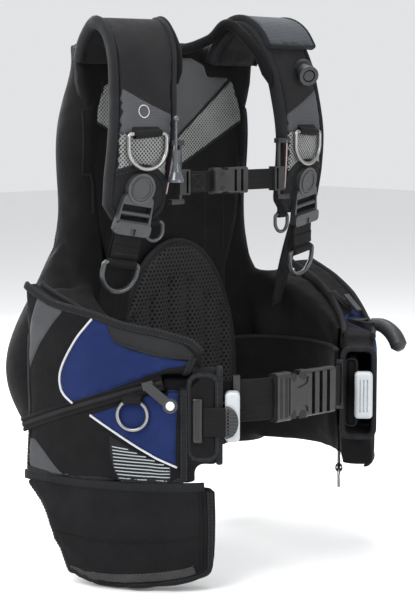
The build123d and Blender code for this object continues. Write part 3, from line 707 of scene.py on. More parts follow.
# ---- shoulder pads: padded strap, three cloths, bound edges, and an arch over the swivel ----
def shoulder_pad(word, side):
    pad = soft_shell(f"shoulder_pad_{word}_body", f"shoulder_pad_{word}", ribbed, pad_uv(side), 5.0, 1.0, 2.6)
    skin = Skin([pad], pad_ray(side), lambda x, s: (x, s))
    arch = smooth([(-40, 270), (-18, 264), (8, 265), (27, 278), (33, 300), (30, 316)], 6)
    inner = [(pad_edge(PAD_INNER, s) - 3, s) for s in range(206, 310, 8)]
    outer = [(pad_edge(PAD_OUTER, s) + 3, s) for s in range(160, 226, 8)]
    cut = [(-28, 174), (-5, 186), (12, 194)]
    lower = [(pad_edge(PAD_OUTER, s) + 3, s) for s in range(224, 266, 8)]
    grey = outer + [(pad_edge(PAD_OUTER, 226) + 3, 226), (pad_edge(PAD_INNER, 226) - 3, 226)]
    grey += [p for p in reversed(inner) if p[1] < 226] + list(reversed(cut))
    patch(f"shoulder_pad_{word}_charcoal", skin, grey, charcoal, 1.1, 5.0)
    mesh_edge = [(pad_edge(PAD_INNER, s) - 3, s) for s in range(224, 308, 8)]
    mesh = lower + arch + list(reversed(mesh_edge))
    patch(f"shoulder_pad_{word}_mesh", skin, mesh, silver_mesh, 0.8, 5.0)
    tape(f"shoulder_pad_{word}_arch", skin, arch[::3], 8.0, 1.6)
    line, normals = skin.path([(pad_edge(PAD_OUTER, 225) + 4, 225), (pad_edge(PAD_INNER, 225) - 4, 225)],
                              3.0, 1.2,
                              False)
    stitches(f"shoulder_pad_{word}_join", line, normals, 0.1)
    line, normals = skin.path([(x, s - 2) for x, s in [(-36, 160)] + cut + [(37, 206)]], 3.0, 0.4)
    stitches(f"shoulder_pad_{word}_slant", line, normals, 0.1)
    for end, table in (("inner", PAD_INNER), ("outer", PAD_OUTER)):
        sign = -1 if table is PAD_INNER else 1
        points, ups = [], []
        for k in range(61):
            s = PAD_END * (0.02 + 0.97 * k / 60)
            p, normal, _ = pad_mid(pad_edge(table, s) + sign * 2.0, s, side)
            points.append(p)
            ups.append(normal)
        path_piece(f"shoulder_pad_{word}_{end}_edge", points, ups, oval(8.5, PAD_T + 2.6, 16, 2.6), binding)
        for face in (1, -1):
            row = [p + n * face * (PAD_T / 2 + 1.2) for p, n in zip(points, ups)]
            stitches(f"shoulder_pad_{word}_{end}_seam_{'front' if face > 0 else 'back'}", row,
                     [n * face for n in ups], 0.1)
    bottom = [pad_mid(-28 + 42 * k / 10, PAD_END - 2.2, side) for k in range(11)]
    path_piece(f"shoulder_pad_{word}_hem", [b[0] for b in bottom], [b[1] for b in bottom],
               oval(7.0, PAD_T + 2.4, 16, 2.6), binding)
    if side > 0:
        emblem = [skin.at(-2 + 7.0 * math.cos(t), 200 + 7.0 * math.sin(t), 1.3) for t in turn(40)]
        ring_piece(f"shoulder_pad_{word}_ring_print", emblem, oval(1.1, 0.5, 8), pale_thread)


def turn(n):
    return [2 * math.pi * k / n for k in range(n)]


def ring_piece(name, places, section, material, body="vest"):
    """A closed loop along (point, normal) pairs."""
    line = [p for p, _ in places]
    ups = [n for _, n in places]
    m = len(section)
    verts, uvs, faces = [], [], []
    for i, p in enumerate(line):
        tangent = (line[(i + 1) % len(line)] - line[i - 1]).normalized()
        side = tangent.cross(ups[i]).normalized()
        for a, b in section:
            verts.append(p + side * a + side.cross(tangent) * b)
            uvs.append((a, i))
    for i in range(len(line)):
        for j in range(m):
            k = (i + 1) % len(line)
            faces.append((i * m + j, i * m + (j + 1) % m, k * m + (j + 1) % m, k * m + j))
    return make(name, verts, faces, material, body, uvs)


for word, side in SIDES:
    shoulder_pad(word, side)


# ---- shoulder flap over the left pad ----
def shoulder_flap():
    flap = soft_shell("shoulder_flap_cover", "shoulder_flap", flap_cloth, pad_uv(-1), 3.5, 0.4, 1.2,
                      body="shoulder_flap")
    s0, s1 = PAD_LENGTHS[8], PAD_LENGTHS[22]
    loop = [(-43, s0 + 2), (-43, s1 - 8), (-34, s1 - 1), (46, s1 - 1), (55, s1 - 8), (55, s0 + 2)]
    points, ups = [], []
    for p in even([(x, s, 0) for x, s in smooth(loop, 4)], 4.0):
        place, normal, _ = pad_mid(p.x, p.y, -1)
        points.append(place + normal * (PAD_T / 2 + 4.4))
        ups.append(normal)
    path_piece("shoulder_flap_edge", points, ups, oval(3.4, 9.2, 12, 2.6), binding, "shoulder_flap")
    inner = offset([p + n * 5.0 for p, n in zip(points, ups)], ups, 5.0)
    stitches("shoulder_flap_seam", inner, ups, -0.6, "shoulder_flap")


shoulder_flap()


# ---- air cells: the rear lobes and side wings ----
for word, side in SIDES:
    cell = soft_shell(f"air_cell_{word}_body", f"air_cell_{word}", nylon, side_uv(side), 7.0, 1.6, 5.0)
    front = level_skin(cell, -230.0, 1)
    for k, x in enumerate((-112, -138)):
        rows = [(x * side, z) for z in (300 - 30 * k, 240, 180, 120 + 20 * k)]
        tape(f"air_cell_{word}_front_seam_{k}", front, rows, 3.0, 0.9, binding, 0.3, stitched=False)
    rear = level_skin(cell, 60.0, -1)
    tape(f"air_cell_{word}_rear_piping", rear, [(-108 * side, 330), (-128 * side, 240), (-132 * side, 130),
                                               (-160 * side, 20), (-168 * side, -160)], 5.0, 1.4, binding)
    tape(f"air_cell_{word}_rear_seam", rear, [(-150 * side, 30), (-150 * side, -150)], 3.0, 0.7, nylon, 0.0)


# ---- centre of the back: sheet, lining with its slanted mesh bands, lumbar pad ----
def sheet_piece(name, outline, step, height, back, material):
    """A sheet over an (x, z) outline: its face is at y = height(x, z, distance to the edge)."""
    points, triangles, near, rim = fill_outline(outline, step)
    front = [Vector((p.x, height(p.x, p.y, d), p.y)) for p, d in zip(points, near)]
    rear = [Vector((p.x, back, p.y)) for p in points]
    n = len(points)
    faces = triangles + [tuple(i + n for i in reversed(t)) for t in triangles]
    faces += skirt(rim, lambda k: rim[k] + n)
    obj = make(name, front + rear, faces, material, "vest", [(p.x, p.y) for p in points] * 2)
    fix_normals(obj)
    return obj


def mirrored(half):
    """The outline's left half, from the bottom up, closed on the right."""
    return half + [(-x, z) for x, z in reversed(half)]


def soft_edge(distance, reach):
    t = min(distance / reach, 1.0)
    return math.sqrt(max(0.0, 1 - (1 - t) ** 2))


def creases(x, z, size, depth):
    """Uneven heights of that size and depth."""
    return noise.fractal(Vector((x / size, 0.3, z / size)), 0.8, 2.0, 3) * depth


LINING_FRONT = -115.4
LINING_BACK = -112.4
lining_half = [(-98, -176), (-96, 60), (-115, 120), (-125, 200), (-121, 260), (-103, 311), (-62, 311),
               (-56, 325),
               (-34, 333)]
lining = sheet_piece("back_lining_base", mirrored(lining_half), 7.0,
                     lambda x, z, d: LINING_FRONT - 0.8 * soft_edge(d, 8) - abs(creases(x, z, 60, 0.7)),
                     LINING_BACK, nylon)
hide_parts("back_lining")
lining_skin = level_skin(lining, -160.0, 1)


def satin_height(x, z, d):
    """The satin panel: domed at its edges, with slanted folds and creases."""
    pull = 3.0 * soft_edge(d, 22)
    folds = 1.7 * math.sin((x * 0.75 + z) / 15 + 0.9 * math.sin(x / 31)) * soft_edge(d, 26)
    return LINING_FRONT - 2.0 - pull - folds - creases(x, z, 44, 1.2) * soft_edge(d, 20)


satin_panel = [(-104, 308), (-62, 308), (-56, 322), (-34, 331), (34, 331), (56, 322), (62, 308), (104, 308),
               (0, 224)]
sheet_piece("back_lining_satin", satin_panel, 4.0, satin_height, LINING_FRONT - 0.6, satin)
for word, side in SIDES:
    band = [(-106 * side, 306), (-122 * side, 262), (-121 * side, 250), (-2 * side, 188), (0, 224)]
    sheet_piece(f"back_lining_mesh_{word}", band, 5.0,
                lambda x, z, d: LINING_FRONT - 2.2 - 1.2 * soft_edge(d, 12) - abs(creases(x, z, 30, 0.8)),
                LINING_FRONT - 0.6, silver_mesh)
    for k, (top, low) in enumerate((((-106 * side, 307), (0, 224)), ((-121 * side, 251), (0, 188)))):
        tape(f"back_lining_{word}_seam_{k}", lining_skin, [top, low], 3.2, 1.3, binding, 1.6, rounded=False,
             stitched=False)
    for k, x in enumerate((59, 92)):
        row = [(-x * side, 222 - k * 30), (-x * side, 130), (-x * side, 84)]
        line, normals = lining_skin.path(row, 4.0, 0.3)
        stitches(f"back_lining_{word}_stitch_{k}", line, normals)
sheet_back = sheet_piece("air_cell_back_sheet", mirrored([(-98, -178), (-98, 120), (-98, 330), (-66, 342),
                                                          (-40, 350)]),
                         8.0, lambda x, z, d: -111.9, -104.0, nylon)
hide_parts("air_cell_back")

ARCH = smooth([(-98, -128), (-99, -60), (-92, -5), (-70, 50), (-40, 86), (0, 100), (40, 86), (70, 50),
               (92, -5),
               (99, -60), (98, -128)], 4)
RIDGE = 31.0


def lumbar_height(x, z, d):
    """Upright ridges with grooves between them, below a plain arch."""
    groove = abs(math.cos(math.pi * x / RIDGE)) if z < 66 - abs(x) * 0.7 else 1.0
    crown = 0.25 + 0.75 * groove ** 0.7
    return -124.0 - 9.3 * soft_edge(d, 12) * crown


lumbar = sheet_piece("lumbar_pad_body", ARCH, 3.5, lumbar_height, -123.3, spacer)
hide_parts("lumbar_pad")
arch_line = [Vector((x, -127.0, z)) for x, z in ARCH]
path_piece("lumbar_pad_binding", [Vector(p) for p in even(arch_line, 4.0)],
           [Vector((0, -1, 0))] * len(even(arch_line, 4.0)),
           oval(9.0, 7.0, 14, 2.6), binding)
for k, off in enumerate((-2.6, 2.6)):
    row = [Vector(p) for p in even(arch_line, 4.0)]
    ups = [Vector((0, -1, 0))] * len(row)
    stitches(f"lumbar_pad_seam_{k}", offset(row, ups, off), ups, 3.4)

# ---- yokes: the cell's top, from the lobes up to the shoulder pads ----
for word, side in SIDES:
    half = [(-50, 300), (-62, 344), (-84, 352), (-124, 354), (-146, 342), (-143, 300), (-132, 262),
            (-118, 270)]
    yoke = sheet_piece(f"shoulder_yoke_{word}", [(x * side, z) for x, z in half], 5.0,
                       lambda x, z, d: -114.0 - 4.0 * soft_edge(d, 16) - creases(x, z, 40, 1.0), -102.0,
                       nylon)

# ---- neck tube and carry handle ----
neck_right = [(-79, -216, 298), (-68, -202.5, 338), (-57, -164, 373), (-52, -136, 356), (-32, -121, 345)]
neck_line = even(smooth(neck_right + [(0, -119, 340.5)] + [(-x, y, z) for x, y, z in reversed(neck_right)],
                        10), 3.0)
neck_ups = [Vector((0, 0, 1))] * len(neck_line)


def neck_size(t):
    """The tube narrows at both ends and is a little uneven between them."""
    return min(1.0, 0.35 + 16 * min(t, 1 - t)) * (1.0 + 0.025 * math.sin(t * 90) * math.sin(t * 37))


neck = path_piece("neck_collar_tube", neck_line, neck_ups, oval(13.0, 13.0, 20), soft_black,
                  size=neck_size)
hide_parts("neck_collar")
stitches("neck_collar_seam", [p + Vector((0, 0, 6.5)) for p in neck_line], neck_ups, 0.0)

handle_line = even(smooth([(-60, -99, 288), (-50, -97, 300), (-42, -84, 318), (0, -78, 324), (42, -84, 318),
                           (50, -97, 300), (60, -99, 288)], 8), 4.0)
handle_ups = [Vector((0, 1, 0.4)).normalized()] * len(handle_line)
handle = path_piece("carry_handle_strap", handle_line, handle_ups, oval(26, 3.4, 16, 4), webbing)
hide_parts("carry_handle")
for x in (-50, 50):
    box_line = [Vector((x + dx, -96.6, 292 + dz)) for dx, dz in ((-8, -6), (8, -6), (8, 6), (-8, 6),
                                                                 (-8, -6), (8, 6))]
    stitches(f"carry_handle_stitch_{'right' if x < 0 else 'left'}", even(box_line, 2.0),
             [Vector((0, 1, 0))] * len(even(box_line, 2.0)), 0.4)


# ---- webbing straps ----
def strap(name, points, ups, width, body="vest", node=None, thick=2.2):
    """Flat webbing."""
    verts, faces, uvs = sweep(points, ups, oval(width, thick, 16, 5))
    obj = make(name, verts, faces, webbing, body, uvs)
    if node:
        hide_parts(node)
    return obj


def level_ups(line):
    """Level directions square to a line."""
    ups = []
    for i in range(len(line)):
        run = line[min(i + 1, len(line) - 1)] - line[max(i - 1, 0)]
        ups.append(Vector((run.y, -run.x, 0)).normalized())
    return ups


def upright(points, z, step=3.0):
    line = even([(x, y, z) for x, y in points], step)
    return line, level_ups(line)


WAIST_Z = -69.0
CHEST_Z = 181.0
BUCKLE_Y = -345.0
STRAP_Y = -227.5
strap_line = [(-112, -307.5), (-104, -316), (-89, -329), (-70, -339), (-44.6, BUCKLE_Y)]
line, ups = upright(smooth(strap_line, 6), WAIST_Z)
strap("waist_strap_right_web", line, ups, 50.0, node="waist_strap_right")
line, ups = upright([(-x, y) for x, y in smooth(strap_line[:-1] + [(-57.4, BUCKLE_Y)], 6)], WAIST_Z)
left_web = strap("waist_strap_left_web", line, [-u for u in ups], 50.0, body=None, node="waist_strap_left")
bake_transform(left_web)

line, ups = upright([(-72.0, STRAP_Y), (-34.6, STRAP_Y)], CHEST_Z)
strap("chest_strap_right_web", line, ups, 25.0, "chest_right", "chest_strap_right")
line, ups = upright([(-70.0, STRAP_Y - 1.6), (-44.0, STRAP_Y - 1.6)], CHEST_Z)
strap("chest_strap_right_fold", line, ups, 25.4, "chest_right", thick=1.6)
cross = [(-68, -9), (-47, -9), (-47, 9), (-68, 9), (-68, -9), (-47, 9), (-57, 0), (-68, 9), (-47, -9)]
cross_line = even([(x, STRAP_Y - 2.6, CHEST_Z + z) for x, z in cross], 2.0)
stitches("chest_strap_right_cross", cross_line, [Vector((0, -1, 0))] * len(cross_line), 0.0, "chest_right")
line, ups = upright([(24.6, STRAP_Y), (72.0, STRAP_Y)], CHEST_Z)
left_chest = strap("chest_strap_left_web", line, ups, 25.0, body=None, node="chest_strap_left")
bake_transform(left_chest)

# ---- swivel units: anchor webbing behind, pull tail below ----
SWIVEL = (PAD_TURN @ Matrix.Translation((-6, 6.4 - PAD_T / 2 - 0.9,
                                         176)) @ Matrix.Rotation(math.radians(100), 4, "X")
          @ Matrix.Rotation(math.radians(-9.6), 4, "Z"))


def swivel_parts(word, side):
    def at(x, y, z):
        p = SWIVEL @ Vector((x, y, z))
        return p if side > 0 else flip(p)

    def way(x, y, z):
        d = SWIVEL.to_3x3() @ Vector((x, y, z))
        return d if side > 0 else flip(d)

    tail = [at(0, y, 2.2) for y in range(-38, -88, -4)]
    strap(f"strap_tail_{word}_web", tail, [way(0, 0, 1)] * len(tail), 38.0, f"swivel_{word}",
          f"strap_tail_{word}")
    hook = [(at(0, -92 + 4.5 * math.cos(t), 2.2 + 4.5 * math.sin(t)), way(0, math.cos(t), math.sin(t)))
            for t in turn(24)]
    ring_piece(f"strap_tail_{word}_loop", hook, oval(38.0, 1.7, 16, 5), webbing, f"swivel_{word}")
    over = [at(0, y, 3.4 + 0.5 * (y < -80)) for y in range(-70, -88, -3)]
    strap(f"strap_tail_{word}_fold", over, [way(0, 0, 1)] * len(over), 38.2, f"swivel_{word}", thick=1.2)
    seam = [at(x, -80, 4.2) for x in range(-17, 18, 2)]
    stitches(f"strap_tail_{word}_stitch", seam, [way(0, 0, 1)] * len(seam), 0.1, f"swivel_{word}")
    start, finish = at(0, -44, -1.6), Vector((-141 * side, -167, 14))
    rows = [start.lerp(finish, k / 24) + way(0, 0, -1) * 3.0 * math.sin(math.pi * k / 24) for k in range(25)]
    top_side, low_side = way(1, 0, 0), Vector((math.cos(math.radians(26)) * side,
                                               -math.sin(math.radians(26)), 0))
    run = (finish - start).normalized()
    normals = []
    for k in range(25):
        across = top_side.lerp(low_side, k / 24).normalized()
        normals.append(across.cross(run).normalized())
    web = strap(f"anchor_webbing_{word}_web", rows, normals, 38.0, None, f"anchor_webbing_{word}")
    tuple(start.lerp(finish, 0.75) * MM)
    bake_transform(web)


for word, side in SIDES:
    swivel_parts(word, side)


# ---- pockets ----
RAISED_TOP = [(178, 64), (189.5, 46), (204, 36), (214, 24), (224, 17), (233, 6.5), (236.4, -7)]


def raised_z(angle, radius=SIDE_R):
    """Top of the facing that stands above the right pocket's front."""
    return max(interpolate(RAISED_TOP, angle), top_z(angle, radius))


def pocket_top(name, side, a0, a1, radius, top=top_z):
    """Binding along the top edge of a pocket, folded over it."""
    points, ups = [], []
    for k in range(49):
        a = a0 + (a1 - a0) * k / 48
        points.append(side_point(a, radius - 1.0, top(a, radius) - 3.5, side))
        ups.append(side_dir(a, side))
    path_piece(name, points, ups, oval(10.0, 5.6, 14, 3), binding)
    for k, off in enumerate((-3.4, 2.6)):
        stitches(f"{name}_seam_{k}", offset(points, ups, off), ups, 2.8)


def right_pocket():
    body = soft_shell("pocket_right_body", "pocket_right", nylon, side_uv(1), 4.5, 1.0, 3.0)
    facing_rows = []
    for angle in range(186, 237):
        low, high = top_z(angle) - 16.0, raised_z(angle) - 4.0
        facing_rows.append([side_point(angle, r, z) for r, z in
                            ((SIDE_R - 4.0, low), (SIDE_R + 0.6, low), (SIDE_R + 1.2, (low + high) / 2),
                             (SIDE_R + 0.6, high), (SIDE_R - 1.0, high + 1.5), (SIDE_R - 3.0, high))])
    points = [p for row in facing_rows for p in row]
    faces = []
    for row in range(len(facing_rows) - 1):
        for k in range(6):
            a, b = row * 6 + k, row * 6 + (k + 1) % 6
            faces.append((a, b, b + 6, a + 6))
    faces += [tuple(range(6)), tuple(range(len(points) - 6, len(points)))]
    facing = make("pocket_right_facing", points, faces, nylon, "vest", [side_uv(1)(p) for p in points])
    fix_normals(facing)
    skin = Skin([body, facing], side_ray(1), side_flat)
    top = lambda a: raised_z(a) - 8.0
    upper = smooth([(204, top(204)), (198.5, 2), (193.4, -34), (193.6, -58), (197, -71)], 6)
    upper += [(209, -54), (221, -35), (226, -26.5), (231, -24), (233.5, -20), (227, -16), (215.5, -6),
              (210.5, 4),
              (208.5, top(208.5))]
    patch("pocket_right_navy_upper", skin, upper, navy, 1.0, 5.0, puff=1.6)
    lower = smooth([(203.5, -84), (210, -100), (220, -124), (228.6, -140)], 5)
    lower += [(228.8, -92), (229.6, -42), (226, -46), (220, -60)]
    patch("pocket_right_navy_lower", skin, lower, navy, 1.0, 5.0, puff=1.4)
    tape("pocket_right_piping_upper", skin, [(204, top(204)), (198.5, 2), (193.4, -34), (193.6, -58),
                                             (197.4, -72)],
         2.4, 1.3, pale_thread, 1.0, stitched=False)
    tape("pocket_right_piping_lower", skin, [(203.3, -84), (210, -100), (220, -124), (229, -141)], 2.4, 1.3,
         pale_thread, 1.0, stitched=False)
    crescent = [(208.5, top(208.5)), (210.8, 3), (215.5, -5), (224.5, -15), (233.8, -17), (234, -11)]
    crescent += [(a, top(a)) for a in (231, 226, 221, 216, 212)]
    patch("pocket_right_trim", skin, crescent, charcoal_black, 2.0, 5.0, puff=1.0)
    line, normals = skin.path([(209.6, 12), (212, 2), (216.5, -3.5), (225, -12), (233, -14.5)], 3.0, 2.6)
    stitches("pocket_right_trim_seam", line, normals, 0.3)
    grey_top = [(184, top(184)), (181.5, 24), (178.8, -10), (177.3, -44), (179.2, -42), (184.6, -8),
                (189.7, 17),
                (194, top(194))]
    patch("pocket_right_grey_upper", skin, grey_top, grey_cloth, 0.9, 5.0)
    grey_low = [(178, -122), (182.3, -121)] + smooth([(182.3, -121), (186.3, -134), (192, -154),
                                                      (196, -163)], 4)[1:]
    grey_low += [(188, -163), (180.7, -160), (178.2, -143)]
    patch("pocket_right_grey_lower", skin, grey_low, grey_cloth, 0.9, 5.0)
    label = [(209.3, -106), (218.3, -126), (227.8, -143), (227.4, -156), (224, -162), (214.5, -163),
             (211, -150),
             (209.5, -130)]
    patch("pocket_right_label", skin, label, rubber_patch, 1.2, 4.0)
    for k in range(11):
        z = -119 - k * 4.0
        left_a = 210.2 + 0.10 * k + max(0, k - 6) * 0.35
        right_a = min(227.0, 215.0 + 2.6 * k) - max(0, k - 8) * 0.9
        tape(f"pocket_right_label_line_{k}", skin, [(left_a, z), (right_a, z - 2.6)], 1.3, 0.5,
             stripe_print, 1.4,
             stitched=False, rounded=False)
    pocket_top("pocket_right_binding_top", 1, 178, 236, SIDE_R, raised_z)
    pocket_top("pocket_right_binding_inner", 1, 178, 233, 206.5)
    tape("pocket_right_binding_front", skin, [(231, -158), (231, -90), (231.2, -44), (233.8, -14)], 8.5, 1.8)
    tape("pocket_right_binding_bottom", skin, [(177.5, -158), (192, -161), (206, -159), (214, -162.5),
                                               (225, -163),
                                              (231, -156)], 8.0, 1.7)
    tape("pocket_right_binding_back", skin, [(178.4, 34), (177.6, -40), (177.6, -155)], 6.0, 1.4)


charcoal_black = fabric("trim_cloth", (0.02, 0.0205, 0.022), "rib", 1.3, 0.25, 0.6, 0.05, 0.7)
rubber_patch = fabric("label_cloth", (0.014, 0.0145, 0.017), "plain", 0.7, 0.1, 0.5, 0.02, 0.8)
stripe_print = fabric("stripe_print", (0.34, 0.37, 0.38), "plain", 0.6, 0.05, 0.5, 0.0, 0.85)
right_pocket()


def left_pocket():
    body = soft_shell("pocket_left_body", "pocket_left", nylon, side_uv(-1), 4.5, 1.0, 3.0)
    skin = Skin([body], side_ray(-1), side_flat)
    navy_side = smooth([(186, 20), (198, 16), (212, 2), (224, -14), (232, -30)], 4)
    navy_side += [(232.5, -80), (230, -120), (214, -112), (199, -92), (188, -60), (184, -20)]
    patch("pocket_left_navy", skin, navy_side, navy, 1.0, 6.0, puff=1.5)
    tape("pocket_left_piping", skin, [(230, -121), (214, -113), (199, -93), (188, -60), (184, -20),
                                      (186, 18)], 2.4, 1.3,
         pale_thread, 1.0, stitched=False)
    pocket_top("pocket_left_binding_top", -1, 178, 235, LEFT_R)
    pocket_top("pocket_left_binding_inner", -1, 178, 233, 206.5)
    tape("pocket_left_binding_bottom", skin, [(178, -160), (200, -162), (220, -174), (234, -180)], 8.0, 1.7)


left_pocket()

# ---- weight sleeves' mouths and pouches ----
POUCH_A = math.atan2(-0.688, 0.725)
POUCH_C = Vector((-156.7, -286.7, 0))
POUCH_Z = -83.0


def sleeve_at(t, off, z, side):
    """t forward along the sleeve, off outward, z up."""
    along = Vector((math.cos(POUCH_A), math.sin(POUCH_A), 0))
    out = Vector((math.sin(POUCH_A), -math.cos(POUCH_A), 0))
    p = POUCH_C + along * t + out * off + Vector((0, 0, z))
    return p if side > 0 else flip(p)


def sleeve_way(t, off, z, side):
    """A direction in the sleeve's own axes."""
    return sleeve_at(t, off, z, side) - sleeve_at(0, 0, 0, side)


def rounded_loop(half_w, half_h, radius, n=6):
    """A rounded rectangle about the middle."""
    out = []
    for cx, cy, start in ((half_w - radius, half_h - radius, 0), (radius - half_w, half_h - radius, 90),
                          (radius - half_w, radius - half_h, 180), (half_w - radius, radius - half_h, 270)):
        for k in range(n + 1):
            t = math.radians(start + 90 * k / n)
            out.append((cx + radius * math.cos(t), cy + radius * math.sin(t)))
    return out


for word, side, off, half_w, wide in (("right", 1, 2.0, 12.8, 5.0), ("left", -1, 7.0, 19.4, 7.0)):
    rim = rounded_loop(half_w, 55.0, 10.0)
    places = [(sleeve_at(59.0, off + a, POUCH_Z + z, side), sleeve_way(0, a / half_w, z / 55.0,
                                                                       side).normalized())
              for a, z in rim]
    ring_piece(f"sleeve_{word}_mouth", places, oval(8.0, wide, 12, 2.6), binding)
    stitches(f"sleeve_{word}_mouth_seam", [p + n * (wide / 2) for p, n in places], [n for _, n in places],
             0.1)


def pouch_uv(side):
    return lambda p: (p.x * side * 0.7 - p.y * 0.7, p.z)


for word, side in SIDES:
    pouch = soft_shell(f"weight_pouch_{word}_body", f"weight_pouch_{word}", nylon, pouch_uv(side), 4.0, 1.4,
                       2.0,
                       body=f"weight_{word}")
    middle = 0.0 if side > 0 else -2.0
    grip = [sleeve_at(t, middle + (8 if side > 0 else 12) * min(1.0, (t - 50) / 12), POUCH_Z, side)
            for t in range(50, 67, 2)]
    strap(f"weight_pouch_{word}_tab", grip, [sleeve_way(0, 1, 0, side)] * len(grip), 30.0, f"weight_{word}")
    lid = [(sleeve_at(55.6, middle + a, POUCH_Z + z, side), sleeve_way(1, 0, 0, side))
           for a, z in rounded_loop(7.0, 42.0, 5.0)]
    ring_piece(f"weight_pouch_{word}_seam", lid, oval(2.4, 1.6, 8), binding, f"weight_{word}")

# ---- hanging bellows pocket ----
drop_cloth = fabric("drop_cloth", (0.0105, 0.0105, 0.0115), "twill", 2.8, 0.4, 0.72, 0.02, 0.45)
dim_mesh = fabric("dim_mesh", (0.07, 0.07, 0.07), "lattice", 3.4, 0.4, 0.6, 0.05,
                  second=(0.006, 0.006, 0.006))
drop = soft_shell("drop_pocket_body", "drop_pocket", drop_cloth, side_uv(1), 5.0, 1.4, 4.0)
drop_skin = Skin([drop], side_ray(1), side_flat)
drop_edge = [(177.4, -172), (179, -196), (183.5, -222), (189, -248), (194, -272), (200, -283), (214, -283),
             (230, -276),
             (237.5, -266), (238.5, -250), (238.5, -172)]
tape("drop_pocket_edge", drop_skin, drop_edge, 7.0, 1.6)
for k, shift in enumerate((5.0, 9.5)):
    pleat = [(a - shift * 0.28, z + shift * 0.5) for a, z in drop_edge[-4:]]
    tape(f"drop_pocket_pleat_{k}", drop_skin, pleat, 3.4, 1.0, nylon, 0.0, stitched=False)
tape("drop_pocket_zip_tape", drop_skin, [(196, -270), (202, -273.5), (214, -273.5), (229, -267),
                                         (234, -262)], 10.0, 0.8,
     dim_mesh)
band_line = [side_point(a, 227.6, -166.5, 1) for a in range(177, 239, 2)]
path_piece("drop_pocket_top_band", band_line, [side_dir(a, 1) for a in range(177, 239, 2)],
           oval(12.0, 4.6, 14, 3),
           binding)
tape("drop_pocket_fold", drop_skin, [(187, -226), (205, -231), (222, -229), (236, -224)], 3.0, 0.8, nylon,
     0.0,
     stitched=False)

# ---- waistband ----
BELT = smooth([(0, -119.3), (-60, -119.3), (-100, -119.8), (-135, -132), (-156, -168), (-161, -208),
               (-151, -245),
               (-133, -277), (-110, -304)], 9)


def belt_piece():
    half = [Vector((x, y, WAIST_Z)) for x, y in BELT]
    line = [Vector(p) for p in even([tuple(p) for p in reversed(half)] + [tuple(flip(p)) for p in half[1:]],
                                    4.0)]
    ups = [-u for u in level_ups(line)]
    section = [(36.0 * math.copysign(abs(math.cos(t)) ** 0.7, math.cos(t)),
                (2.2 + 0.8 * abs(math.sin(2 * t)) ** 0.5) * math.copysign(abs(math.sin(t)) ** 0.4,
                                                                          math.sin(t)))
               for t in turn(28)]
    belt = path_piece("waistband_body", line, ups, section, soft_black)
    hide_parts("waistband")
    for k, z in enumerate((-36.0, 36.0)):
        edge = [p + Vector((0, 0, z)) for p in line]
        path_piece(f"waistband_edge_{k}", edge, ups, oval(4.6, 6.8, 12, 2.6), binding)
    for side in (1, -1):
        tip = [line[1 if side > 0 else -2] + Vector((0, 0, z)) for z in range(-37, 38, 4)]
        face = ups[1 if side > 0 else -2]
        path_piece(f"waistband_end_{'right' if side > 0 else 'left'}", tip, [face] * len(tip),
                   oval(4.6, 6.8, 12, 2.6),
                   binding)


belt_piece()


# ---- zippers ----
ZIP_FRAME = Matrix.Translation((SIDE_C.x + 27.2, SIDE_C.y, -102.0)) @ Matrix.Rotation(math.radians(-20), 4,
                                                                                      "X")
ZIP_R = 255.0


def zip_arc(radius, a0, a1, height):
    """Points and outward directions along the right zipper's track, about every degree."""
    count = int(a1 - a0) + 1
    out = []
    for k in range(count + 1):
        t = math.radians(a0 + (a1 - a0) * k / count)
        p = ZIP_FRAME @ Vector((radius * math.cos(t), radius * math.sin(t), height))
        out.append((p, ZIP_FRAME.to_3x3() @ Vector((math.cos(t), math.sin(t), 0))))
    return [p for p, _ in out], [n for _, n in out]


def teeth(name, line, ups, width, pitch, height, material):
    """A coil: small rounded bars across the line."""
    parts = []
    marks = even([tuple(p) for p in line], pitch)
    for i, p in enumerate(marks[:-1]):
        nearest = min(range(len(line)), key=lambda k: (line[k] - p).length)
        run = (marks[i + 1] - p).normalized()
        across = run.cross(ups[nearest]).normalized()
        bar = [p + across * width * x + ups[nearest] * (height + 0.5 * (1 - abs(2 * x))) for x in (-0.5,
                                                                                                   0.0, 0.5)]
        parts.append(sweep(bar, [run] * 3, oval(0.9, pitch * 0.62, 6)))
    verts, faces, uvs = merge(parts)
    return make(name, verts, faces, material, "vest", uvs)


zip_line, zip_ups = zip_arc(ZIP_R + 1.0, 176.5, 222.3, 0.0)
zip_tape = path_piece("zipper_right_tape", zip_line, zip_ups, oval(16.0, 2.0, 12, 4), webbing)
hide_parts("zippers")
teeth("zipper_right_coil", zip_line, zip_ups, 4.6, 1.7, 1.3, coil)
for k, height in enumerate((-6.2, 6.2)):
    lip, lip_ups = zip_arc(ZIP_R + 1.6, 176.5, 222.3, height)
    path_piece(f"zipper_right_lip_{k}", lip, lip_ups, oval(5.0, 3.0, 10, 2.4), nylon)
    stitches(f"zipper_right_stitch_{k}", lip, lip_ups, 1.4)
zip_low, zip_high = Vector((198.0, -246.0, 7.1)), Vector((199.0, -211.0, 27.3))
left_line = [zip_low.lerp(zip_high, k / 12) for k in range(13)]
left_dir = (zip_high - zip_low).normalized()
left_up = (Vector((0, 0, 1)) - left_dir * left_dir.z).normalized()
left_ups = [left_up] * 13
path_piece("zipper_left_tape", [p + left_up * 1.6 for p in left_line], left_ups, oval(13.0, 2.0, 12, 4),
           webbing)
teeth("zipper_left_coil", left_line, left_ups, 4.4, 1.7, 2.9, coil)


